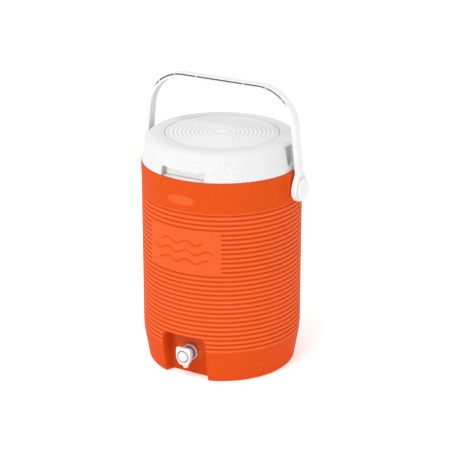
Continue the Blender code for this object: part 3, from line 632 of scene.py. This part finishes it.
def press_recess(turn, z, radius, grow):
    """Points at the turns and the radius, with the tap recess pressed in at the front. On the drum's
    inner wall the recess grows by that wall's distance."""
    x, y = radius * np.sin(turn), -radius * np.cos(turn)
    side = np.abs(x) - RECESS_HALF_WIDTH - grow
    top = (z - RECESS_CEILING - grow) * CEILING_STEEPNESS
    wall = soft_max(soft_max(side, top, RECESS_CORNER) / RECESS_FLARE, 0, RECESS_BACK_ROUND)
    round_base = np.clip(1 - z / RECESS_FOOT, 0, 1) ** 2 * RECESS_FOOT
    back = -(RECESS_BACK - grow) - wall + round_base * (grow == 0)
    pressed = np.where(np.abs(turn) < pi / 3, soft_max(y, back, RECESS_MOUTH_ROUND), y)
    return np.stack([x, pressed, z], axis=-1)


def drum_turns():
    """Where the drum's columns stand: close together at the recess, the panel's edge and the ears."""
    near = stations((0, 43, 1.4), (43, 51, 0.6), (51, 78, 1.6), (78, 82, 0.5)) * MM
    rest = stations((31, 80, 3.2), (80, 100, 0.8), (100, 180, 3.6))
    half = np.concatenate([np.arcsin(near / DRUM_RADIUS), np.radians(rest)])
    return np.concatenate([half, -half[-2:0:-1]])


def rib_edge(number):
    """The height of the crest above that groove, counted from 0 at the top."""
    return TOP_GROOVE + (0.5 - number) * GROOVE_PITCH


def drum_heights():
    """Where the drum's rows stand on its outside, from the rim down to the base. They fall evenly on
    each rib, and closer together at the panel and at the recess's ceiling."""
    over_panel, under_panel, over_recess = rib_edge(3), rib_edge(14), rib_edge(26)
    return stations(
        (DRUM_TOP - RIM_ROUND, rib_edge(0), 2 * MM),
        (rib_edge(0), over_panel, GROOVE_PITCH / 9),
        (over_panel, under_panel, GROOVE_PITCH / 11),
        (under_panel, over_recess, GROOVE_PITCH / 8),
        (over_recess, rib_edge(GROOVE_COUNT), GROOVE_PITCH / 13),
        (rib_edge(GROOVE_COUNT), FOOT_FILLET, 2.4 * MM),
        (FOOT_FILLET, 1 * MM, 0.8 * MM),
        (1 * MM, 0, 0.25 * MM),
    )


def drum_painted_light(x, y, z):
    """Painted shade in the grooves and on the recess's walls, and painted light on the ribs' crests, the
    panel, the badge and the recess's back wall. The engraved waves stay plain."""
    depth = drum_radius(z) - np.hypot(x, y)
    ribbed = (z > rib_edge(GROOVE_COUNT)) & (z < rib_edge(0))
    by_recess = (np.abs(x) < BY_RECESS[0]) & (z < BY_RECESS[1]) & (y < 0)
    # painted shade in the grooves, left off near the recess
    deep = np.interp(depth, (RIB_CROWN, GROOVE_DEPTH), (0, GROOVE_PAINTED_SHADE)) * ribbed * ~by_recess
    # painted shade on the recess's side walls and painted light on its back wall
    wall = ease((depth - 4 * MM) / (12 * MM)) * ease((BACK_DEPTH - depth) / (4 * MM))
    back = ease((depth - BACK_DEPTH + 4 * MM) / (4 * MM))
    recess = (RECESS_BACK_PAINTED_LIGHT * back + RECESS_WALL_PAINTED_SHADE * wall) * by_recess
    # painted highlight on the ribs' crests, off the panel
    crest = CREST_PAINTED_HIGHLIGHT * ease(1 - depth / RIB_CROWN) * ribbed * (1 - panel_share(x, y, z))
    # painted highlight over the panel, left off the engraved waves
    panel = PANEL_PAINTED_HIGHLIGHT * panel_share(x, y, z) * (1 - wave_depth(x, z) / WAVE_DEPTH)
    # painted highlight over the badge's oval and bead
    badge = BADGE_PAINTED_HIGHLIGHT * ease(0.5 - badge_reach(x, z) / BADGE_BEAD) * (y < 0)
    return deep + recess + crest + panel + badge


def build_drum():
    """One closed mesh: up the inner wall, over the rim, down the outside and across the base."""
    turns = drum_turns()
    rows = []
    cavity = DRUM_RADIUS - SHELL_WALL
    for z in stations((SHELL_FLOOR, 80 * MM, 8 * MM), (80 * MM, 100 * MM, 1.5 * MM),
                      (100 * MM, DRUM_TOP - 2 * MM, 40 * MM)):
        lean = max(0, TAPER_TOP - z) * (DRUM_RADIUS - FOOT_RADIUS) / TAPER_TOP
        rows.append(press_recess(turns, np.full_like(turns, z), cavity - lean, RECESS_WALL))
    for angle in np.radians(stations((180, 0, 22.5))):
        z = np.full_like(turns, DRUM_TOP - RIM_ROUND + RIM_ROUND * sin(angle))
        edge = outside_radius(turns, z) - RIM_ROUND
        side = cavity + RIM_ROUND if angle > pi / 2 else edge
        rows.append(press_recess(turns, z, side + RIM_ROUND * cos(angle), 0))
    for height in drum_heights()[1:]:
        z = np.full_like(turns, height)
        rows.append(press_recess(turns, z, outside_radius(turns, z), 0))
    for radius, height in ((FOOT_RING_RADIUS, 0), (FOOT_RING_RADIUS - BASE_RECESS, BASE_RECESS)):
        ring = radius * np.sin(turns), -radius * np.cos(turns), np.full_like(turns, height)
        rows.append(np.stack(ring, axis=-1))
    drum = skin("drum", rows, [(0, 0, SHELL_FLOOR), (0, 0, BASE_RECESS)])
    x, y, z = points_of(drum)
    mark(drum, "tone", drum_painted_light(x, y, z))
    above_ribs = ease((z - rib_edge(0)) / (4 * MM))
    under_ribs = ease((TAPER_TOP - z) / (4 * MM))
    mark(drum, "grain", np.maximum(above_ribs, under_ribs))
    return dress(drum, "jug", "orange_shell", "outer_shell")


# ---- Lid ------------------------------------------------------------------------------------

def lid_outline(inset):
    """The lid's side from its shoulder to its lower edge, as (radius, height)."""
    centre = Vector((LID_SHOULDER, LID_TOP - LID_FILLET))
    shoulder = [centre + (LID_FILLET - inset) * Vector((cos(t), sin(t)))
                for t in np.radians(stations((90, 0, 7.5)))]
    side = [(156 * MM, 434 * MM), (158.5 * MM, 424.5 * MM), (LID_RADIUS, 421.5 * MM),
            (LID_RADIUS - 0.5 * MM, LID_LOW.z)]
    heights = stations((455, 439, 1.2), (439, 429, 0.5), (429, 419.5, 0.9)) * MM
    points = [tuple(p) for p in shoulder]
    corners = [points[-1]] + [(r - inset, z) for r, z in side]
    z_known = [z for _, z in reversed(corners)]
    r_known = [r for r, _ in reversed(corners)]
    return points + [(float(np.interp(z, z_known, r_known)), z) for z in heights]


def press_lid(turn, radius, height, grow):
    """A ring of the lid, with the finger notch and the side recesses pressed in."""
    x, y = radius * np.sin(turn), -radius * np.cos(turn)
    z = np.full_like(turn, height)
    reach = soft_max(np.abs(x) - NOTCH_HALF_WIDTH - grow, z - NOTCH_TOP - grow, 5 * MM)
    share = ease(0.5 - reach / (2.2 * MM)) * (y < 0)
    back = -(NOTCH_BACK - grow)
    y = y + np.maximum(back - y, 0) * share
    ends = np.maximum(z - SIDE_RECESS_HIGH, SIDE_RECESS_LOW - z) - grow
    sides = (np.abs(y) - SIDE_RECESS_HALF_WIDTH - grow) * SIDE_RECESS_SLOPE
    reach = soft_max(sides, ends, 4 * MM)
    share = ease(0.5 - reach / (3 * MM))
    floor = SIDE_RECESS_BACK - grow
    x = x - np.sign(x) * np.maximum(np.abs(x) - floor, 0) * share
    return np.stack([x, y, z], axis=-1)


def lid_turns():
    half = np.concatenate([
        np.arcsin(stations((0, 43, 5), (43, 51, 0.5)) * MM / LID_RADIUS),
        np.radians(stations((20, 79, 2.5), (79, 101, 0.5), (101, 180, 2.8))),
    ])
    return np.concatenate([half, -half[-2:0:-1]])


def lid_painted_light(x, y, z):
    """Painted shade in the side recesses, on the notch's ends and in the gap round the plate; painted
    light makes the notch's back brighter."""
    side = (np.abs(y) < SIDE_RECESS_HALF_WIDTH + 6 * MM) & (z < SIDE_RECESS_HIGH + 2 * MM)
    # painted shade in the side recesses
    recess = SIDE_RECESS_PAINTED_SHADE * ease((LID_RADIUS - 5 * MM - np.abs(x)) / (9 * MM)) * side
    in_notch = (y < 0) & (z < NOTCH_TOP + 1 * MM) & (np.hypot(x, y) < LID_RADIUS - 4 * MM)
    inner = NOTCH_HALF_WIDTH - np.abs(x)
    # painted shade on the notch's ends and painted light on its back
    notch = np.clip(inner / (2 * MM) - 1.2, -0.7, 1) * in_notch * (inner > -1.5 * MM)
    from_gap = np.abs(np.hypot(x, y) - PLATE_RADIUS)
    # painted shade in the gap round the plate
    gap = LID_GAP_PAINTED_SHADE * ease(1 - from_gap / (1.6 * MM)) * (z > PLATE_SEAT)
    return recess + notch + gap


def build_lid():
    """One closed mesh: from the plate's ledge over the shoulder, down the side and back up inside."""
    turns = lid_turns()
    seat_edge = PLATE_RADIUS + 0.5 * MM
    top = rounded([(LID_LEDGE, PLATE_SEAT), (seat_edge, PLATE_SEAT), (seat_edge, LID_TOP),
                   (LID_SHOULDER, LID_TOP)], 0.8 * MM)
    outside = top[:-1] + lid_outline(0)
    inside = [(r, max(z, LID_LOW.z)) for r, z in lid_outline(LID_WALL)]
    rows = [press_lid(turns, r, z, 0) for r, z in outside]
    rows += [press_lid(turns, r, z, LID_WALL) for r, z in reversed(inside)]
    rows.append(press_lid(turns, LID_LEDGE, LID_TOP - 5.5 * MM, 0))
    lid = skin("lid_cover", rows[::-1], sharp_angle=50)
    x, y, z = points_of(lid)
    mark(lid, "tone", lid_painted_light(x, y, z))
    mark(lid, "grain", ease((LID_TOP - LID_FILLET + 8 * MM - z) / (10 * MM)))
    return dress(lid, "lid", "white_lid", "lid_shell")


def plate_height(radius):
    """The top of the ringed plate: a flat middle, round ridges and a flat rim."""
    swing = RING_HEIGHT * (0.5 + 0.5 * np.cos(2 * pi * (radius - FIRST_RING) / RING_PITCH))
    middle = ease((radius - FIRST_RING + RING_PITCH * 0.5) / (RING_PITCH * 0.25))
    rim = ease((radius - LAST_RING - RING_PITCH / 2) / RING_EDGE)
    ridged = RING_HEIGHT * (1 - middle) + swing * middle
    return LID_TOP - RING_HEIGHT + ridged * (1 - rim) + (RING_HEIGHT - RIM_DROP) * rim


def plate_painted_light(x, y, z):
    """Painted highlight on the ridges' crests and on the middle, and painted shade between the ridges
    and at the edge.
    """
    radius = np.hypot(x, y)
    ringed = ease((LAST_RING + RING_PITCH / 2 - radius) / RING_EDGE)
    ringed = ringed * ease((radius - FIRST_RING + RING_PITCH / 2) / RING_EDGE)
    # painted highlight on the ridges' crests and painted shade between them
    crest = (np.clip((z - LID_TOP) / RING_HEIGHT, -1, 0) + 0.65) * PLATE_RIDGE_PAINTED_LIGHT * ringed
    # painted highlight on the flat middle
    middle = PLATE_MIDDLE_PAINTED_HIGHLIGHT * ease((17 * MM - radius) / (6 * MM))
    # painted shade at the plate's edge
    rim = ease((radius - PLATE_RADIUS + 1 * MM) / (1 * MM))
    return (crest + middle) * (1 - rim) + LID_GAP_PAINTED_SHADE * rim


def build_top_plate():
    edge = PLATE_RADIUS - PLATE_ROUND
    top = [(r, float(plate_height(r))) for r in stations((edge, 18 * MM, RING_PITCH / 9))]
    outline = [(0, PLATE_LOW.z), (PLATE_RADIUS, PLATE_LOW.z), (PLATE_RADIUS, top[0][1] - PLATE_ROUND)]
    outline += top + [(0, LID_TOP)]
    plate = turned("lid_ringed_plate", outline, 144)
    x, y, z = points_of(plate)
    mark(plate, "tone", plate_painted_light(x, y, z))
    return dress(plate, "lid", "white_lid", "lid_top_plate")


# ---- Bail -----------------------------------------------------------------------------------

def bail_frame(travel):
    """Where the strap's outer face is after that travel from its top's middle, and its outward way."""
    corner_z = BAIL_TOP - BAIL_CORNER
    line_x = BAIL_OUTER_AT_PIVOT - tan(BAIL_SPLAY) * (corner_z - PIVOT_HEIGHT)
    corner_x = line_x - BAIL_CORNER / cos(BAIL_SPLAY)
    along = abs(travel)
    turn = np.clip(along - corner_x, 0, BAIL_CORNER * (pi / 2 - BAIL_SPLAY)) / BAIL_CORNER
    beyond = max(0.0, along - corner_x - BAIL_CORNER * (pi / 2 - BAIL_SPLAY))
    x = min(along, corner_x) + BAIL_CORNER * sin(turn) + beyond * sin(BAIL_SPLAY)
    z = corner_z + BAIL_CORNER * cos(turn) - beyond * cos(BAIL_SPLAY)
    side = -1 if travel < 0 else 1
    return Vector((side * x, 0, z)), Vector((side * sin(turn), 0, cos(turn)))


def slot_depth(travel):
    """The side slots' depth there: none at their cross ribs and past their ends."""
    along = abs(travel)
    ribs = min(abs(along - rib) for rib in SLOT_RIBS) - SLOT_RIB_HALF
    clear = min(ribs, SLOT_END - along)
    return SLOT_DEPTH * float(ease(clear / (0.6 * MM) + 0.5))


def slot_share(travel):
    """How wide the slots stand open there; they narrow towards their ends."""
    return SLOT_TIP + (1 - SLOT_TIP) * float(ease((SLOT_END - abs(travel)) / SLOT_TAPER))


def ring_section(half_width, thickness, edge, side):
    """A section's points as (across, inset), round from the middle of its outer face. Its four edges
    are rounded, and side gives four points of its flank between them."""
    corner = [(half_width - edge * (1 - sin(t)), edge * (1 - cos(t)))
              for t in np.radians((0, 30, 60, 90))]
    far = [(across, thickness - inset) for across, inset in reversed(corner)]
    half = [(0, 0), *corner, *side, *far, (0, thickness)]
    return half + [(-across, inset) for across, inset in half[-2:0:-1]]


def strap_section(travel):
    """The strap's section there, with the slots in its flanks, and each point's tone: painted shade on
    the slots' floors and on the inner face, most of all at the corner."""
    depth = max(slot_depth(travel), 0.02 * MM)
    middle = sum(SLOT_INSETS) / 2
    reach = (SLOT_INSETS[1] - SLOT_INSETS[0]) / 2 * slot_share(travel)
    face, floor = BAIL_HALF_WIDTH, BAIL_HALF_WIDTH - depth
    slot = [(face, middle - reach), (floor, middle - reach), (floor, middle + reach),
            (face, middle + reach)]
    points = ring_section(face, BAIL_THICKNESS, BAIL_EDGE, slot)
    corner = float(ease(1 - abs(abs(travel) - BAIL_CORNER_MIDDLE) / BAIL_CORNER_SHADE))
    tones = []
    for across, inset in points:
        on_floor = (abs(across), inset) in slot[1:3]
        under = inset > BAIL_THICKNESS * 0.99
        # painted shade on the slots' floors and on the inner face, most at the corner
        shade_under = STRAP_INNER_PAINTED_SHADE + STRAP_CORNER_PAINTED_SHADE * corner
        tones.append(-depth / SLOT_DEPTH * on_floor + shade_under * under)
    return points, tones


def strap_stations():
    """Travels along half of the strap, close together at the cross ribs."""
    spans = []
    start = 0
    for rib in (*SLOT_RIBS, SLOT_END):
        spans += [(start, rib - 2 * MM, 5 * MM), (rib - 2 * MM, rib + 2 * MM, 0.25 * MM)]
        start = rib + 2 * MM
    return spans, start


def eye_section(height):
    """A level cut through the strap's foot, where it widens into the round eye."""
    above = height - PIVOT_HEIGHT
    outer = BAIL_OUTER_AT_PIVOT - tan(BAIL_SPLAY) * above
    inner = outer - BAIL_THICKNESS / cos(BAIL_SPLAY)
    round_half = np.sqrt(max(EYE_RADIUS**2 - above**2, 0)) if above < WEB_FOOT else WEB_FOOT_HALF
    narrowing = np.clip((above - WEB_FOOT) / (WEB_TOP - WEB_FOOT), 0, 1)
    half = round_half * (1 - narrowing) + BAIL_HALF_WIDTH * narrowing
    spread = float(ease((WEB_TOP - above) / WEB_BLEND))
    short = max(EYE_FOOT_ROUND - EYE_RADIUS - above, 0)
    shrink = EYE_FOOT_ROUND - np.sqrt(EYE_FOOT_ROUND**2 - short**2)
    inner = inner * (1 - spread) + EYE_INNER_FACE * spread + shrink
    outer = outer * (1 - spread) + EYE_OUTER_FACE * spread - shrink
    return inner, outer, half


def eye_ring(height, side):
    """The eye's section there as a ring of points, in the same order as the strap's section."""
    inner, outer, half = eye_section(height)
    thickness = outer - inner
    edge = min(EYE_EDGE, half * 0.8, thickness * 0.45)
    flank = [(half, inset) for inset in np.linspace(edge, thickness - edge, 6)[1:-1]]
    return [(side * (outer - inset), across, height)
            for across, inset in ring_section(half, thickness, edge, flank)]


def build_bail():
    spans, slot_end = strap_stations()
    web = PIVOT_HEIGHT + WEB_TOP + 2 * MM
    far_point, _ = bail_frame(1)  # a metre along, far past the strap's foot
    strap_end = 1 - (web - far_point.z) / cos(BAIL_SPLAY)
    half = stations(*spans, (slot_end, strap_end, 6 * MM))
    travels = np.concatenate([-half[::-1], half[1:]])
    middle, tones = [], []
    for travel in travels:
        outer, out = bail_frame(travel)
        section, shades = strap_section(travel)
        middle.append([outer - out * inset + Vector((0, across, 0)) for across, inset in section])
        tones.append(shades)
    sweep = np.radians(stations((90, -88, 4)))
    heights = [PIVOT_HEIGHT + EYE_RADIUS * sin(t) for t in sweep if sin(t) < 0.99]
    heights = list(stations((web - 3 * MM, PIVOT_HEIGHT + 24.5 * MM, 1.5 * MM))) + heights
    right = [eye_ring(z, 1) for z in heights]
    left = [eye_ring(z, -1) for z in heights]
    inner, outer, _ = eye_section(heights[-1])
    tip_x, tip_z = (inner + outer) / 2, PIVOT_HEIGHT - EYE_RADIUS
    poles = [(-tip_x, 0, tip_z), (tip_x, 0, tip_z)]
    bail = skin("bail", left[::-1] + [[tuple(p) for p in ring] for ring in middle] + right, poles)
    plain = np.zeros(len(heights) * len(section))
    mark(bail, "tone", np.concatenate([plain, np.ravel(tones), plain, (0, 0)]))
    bores = [bore(EYE_BORE, EYE_INNER_FACE - 20 * MM, EYE_OUTER_FACE + 20 * MM, PIVOT_HEIGHT, side)
             for side in ("left", "right")]
    combine("DIFFERENCE", bail, bores)
    bail.data.set_sharp_from_angle(angle=radians(40))
    return dress(bail, "handle", "white_handle", "handle_bail")


def bore(radius, low, high, height, facing, steps=48):
    """A plain rod on a pivot's or the tap's axis, to cut a bore or to be joined on."""
    outline = [(0, low), (radius, low), (radius, high), (0, high)]
    return turned("bore", outline, steps, (0, 0, height), facing)


def build_cap(side):
    """The knob over a pivot: a domed face, and a hollow for the stud's head."""
    face, hollow = CAP_HIGH.x, CAP_LOW.x + CAP_HOLLOW_DEPTH
    edge = EYE_RADIUS - EYE_EDGE + CAP_LAP
    inside = [(0, hollow), (CAP_HOLLOW_RADIUS, hollow), (CAP_HOLLOW_RADIUS, EYE_OUTER_FACE)]
    foot = [(edge, EYE_OUTER_FACE), (edge - 0.6 * MM, face - 3.6 * MM)]
    dome = [(18 * MM, face - 1 * MM), (10 * MM, face - 0.1 * MM), (0, face)]
    outline = rounded(inside + foot + dome, 4 * MM, 6)
    cap = turned(f"bail_cap_{side}", outline, 72, (0, 0, PIVOT_HEIGHT), side, 60)
    return dress(cap, "handle", "white_handle", f"handle_cap_{side}")


# ---- Tap ------------------------------------------------------------------------------------

def tap_turned(name, outline_mm, slot, body, replaced, soft=0.4, steps=72):
    """A turned tap piece; heights are in millimetres from the drum's axis."""
    outline = [(r * MM, d * MM) for r, d in outline_mm]
    closed = outline[0][0] > 0
    shape = rounded(outline + outline[:2] if closed else outline, soft * MM, 3)
    shape = shape[1:-1] if closed else shape
    made = turned(name, shape, steps, (0, 0, TAP_HEIGHT), "front", 40)
    return dress(made, body, slot, replaced)


def housing_outline():
    """The housing's front outline: square shoulders that narrow to the spout."""
    right = [(0, 20), (16, 20), (17.4, 4), (15.4, -8), (8.5, -19), (0, -19)]
    right = rounded([(x * MM, z * MM) for x, z in right], HOUSING_CORNER, 6)
    return right[:-1] + [(-x, z) for x, z in right[:0:-1]]


def build_housing():
    outline = np.array(housing_outline())
    centre = np.array([0, -1 * MM])
    depths = [(0.86, HOUSING_BACK), (0.95, HOUSING_BACK + 0.6 * MM), (1, HOUSING_BACK + 2 * MM),
              (1, HOUSING_FACE - 2 * MM), (0.96, HOUSING_FACE - 0.5 * MM), (0.88, HOUSING_FACE)]
    rows = []
    for share, depth in depths:
        ring = centre + (outline - centre) * share
        slope = (HOUSING_FACE - depth) / (HOUSING_FACE - HOUSING_BACK) * HOUSING_LEAN
        z = ring[:, 1] - slope * np.clip(ring[:, 1] / (20 * MM), 0, 1)
        rows.append(np.column_stack([ring[:, 0], np.full(len(ring), -depth), z + TAP_HEIGHT]))
    poles = [(0, -HOUSING_BACK, TAP_HEIGHT), (0, -HOUSING_FACE, TAP_HEIGHT)]
    return skin("tap_housing", rows, poles)


def build_tap_body():
    """Housing, spout, collar and barrel, fused with soft fillets and then bored."""
    body = build_housing()
    tip = (SPOUT_TIP - TAP_HEIGHT) / MM
    spout = [(r * MM, z * MM) for r, z in [(0, tip), (5.4, tip), (5.6, tip + 3), (8.6, -14), (0, -14)]]
    combine("UNION", body, [
        turned("spout", spout, 48, (0, -SPOUT_AXIS, TAP_HEIGHT)),
        bore(COLLAR_RADIUS, COLLAR_END, HOUSING_BACK + 1 * MM, TAP_HEIGHT, "front"),
        bore(BARREL_RADIUS, BARREL_END, 128 * MM, TAP_HEIGHT, "front"),
    ])
    fuse = body.modifiers.new("fuse", "REMESH")
    fuse.mode = "VOXEL"
    fuse.voxel_size = FUSE_VOXEL
    smooth = body.modifiers.new("smooth", "SMOOTH")
    smooth.iterations = 6
    apply_modifiers(body)
    outlet = [(0, -OUTLET_LENGTH), (OUTLET_RADIUS, -OUTLET_LENGTH), (OUTLET_RADIUS, 0), (0, 0)]
    cuts = [bore(*sizes, TAP_HEIGHT, "front") for sizes in reversed(TAP_BORES)]
    cuts.append(turned("outlet", outlet, 48, (0, -SPOUT_AXIS, TAP_HEIGHT)))
    combine("DIFFERENCE", body, cuts)
    body.data.shade_smooth()
    body.data.set_sharp_from_angle(angle=radians(40))
    return dress(body, "jug", "white_tap", "tap_body")


def build_tap():
    """The tap's visible pieces. Each outline gives radii and heights in millimetres."""
    build_tap_body()
    face, back = -BUTTON_LOW.y / MM, -BUTTON_HIGH.y / MM
    radius = BUTTON_HIGH.x / MM
    button = [(0, face - 1.6), (radius - 2.5, face - 1.6), (radius - 2.5, back), (radius, back),
              (radius, face - 0.9), (radius - 2, face - 0.25), (0, face)]
    tap_turned("push_button", button, "white_tap", "button", "tap_button", 0.8)
    low, high = -RING_HIGH.y / MM, -RING_LOW.y / MM
    ring = [(radius + 0.3, low), (RING_HIGH.x / MM, low), (RING_HIGH.x / MM, high), (radius + 0.3, high)]
    tap_turned("button_surround", ring, "grey_ring", "jug", "button_ring", 0.5)
    low, high, outer = -FLANGE_HIGH.y / MM, -FLANGE_LOW.y / MM, FLANGE_HIGH.x / MM
    inner = 9.3
    cup = [(inner, low), (outer, low), (outer - 0.4, high), (outer - 2.2, high), (outer - 2.2, low + 2),
           (inner, low + 2)]
    tap_turned("flange_cup", cup, "white_tap", "jug", "tap_flange", 0.7)
    low, high = -FLANGE_RING_HIGH.y / MM, -FLANGE_RING_LOW.y / MM
    outer, inner, sleeve = FLANGE_RING_HIGH.x / MM, 11, 12.3
    insert = [(inner, low), (outer, low), (outer, low + 1.4), (sleeve, low + 1.4), (sleeve, high),
              (inner, high)]
    tap_turned("flange_insert", insert, "grey_ring", "jug", "tap_flange_ring", 0.3)


def dress_frame_nodes():
    """The CAD nodes that stay in sight keep their shapes and get the detailed materials."""
    for row in frame["record"]["subparts"]:
        node = frame["nodes"][row["node"]]
        node.data.materials.clear()
        node.data.materials.append(MATERIALS[row["material_slot"]])


# ---- Studio ---------------------------------------------------------------------------------

def build_camera():
    camera = bpy.data.cameras.new("camera")
    camera.lens = CAMERA_LENS
    camera.sensor_width = CAMERA_SENSOR
    camera.shift_x, camera.shift_y = CAMERA_SHIFT
    made = bpy.data.objects.new("camera", camera)
    made.location = (CAMERA_DISTANCE * sin(CAMERA_AZIMUTH), -CAMERA_DISTANCE * cos(CAMERA_AZIMUTH),
                     CAMERA_HEIGHT)
    made.rotation_euler = (pi / 2 - CAMERA_PITCH, 0, CAMERA_AZIMUTH)
    bpy.context.scene.collection.objects.link(made)
    bpy.context.scene.camera = made


def soft_sun(name, azimuth, elevation, strength, spread):
    """A large far light; azimuth 0 stands in front of the jug, and grows towards +X."""
    light = bpy.data.lights.new(name, "SUN")
    light.energy = strength
    light.angle = radians(spread)
    made = bpy.data.objects.new(name, light)
    made.rotation_euler = (radians(90 - elevation), 0, radians(azimuth))
    bpy.context.scene.collection.objects.link(made)


def build_studio():
    """Plain soft light on a white floor."""
    soft_sun("key", *KEY_SUN)
    soft_sun("fill", *FILL_SUN)
    world = bpy.data.worlds.new("studio")
    world.use_nodes = True
    background = world.node_tree.nodes["Background"]
    background.inputs["Color"].default_value = (1, 1, 1, 1)
    background.inputs["Strength"].default_value = SKY_LIGHT
    bpy.context.scene.world = world
    bpy.context.scene.view_settings.view_transform = "Standard"
    reach = FLOOR_REACH
    corners = [(-reach, -reach, 0), (reach, -reach, 0), (reach, reach, 0), (-reach, reach, 0)]
    floor = add_mesh("floor", corners, [(0, 1, 2, 3)])
    floor.data.materials.append(floor_paint())


dress_frame_nodes()
build_drum()
build_lid()
build_top_plate()
build_bail()
for cap_side in ("left", "right"):
    build_cap(cap_side)
build_tap()
build_camera()
build_studio()
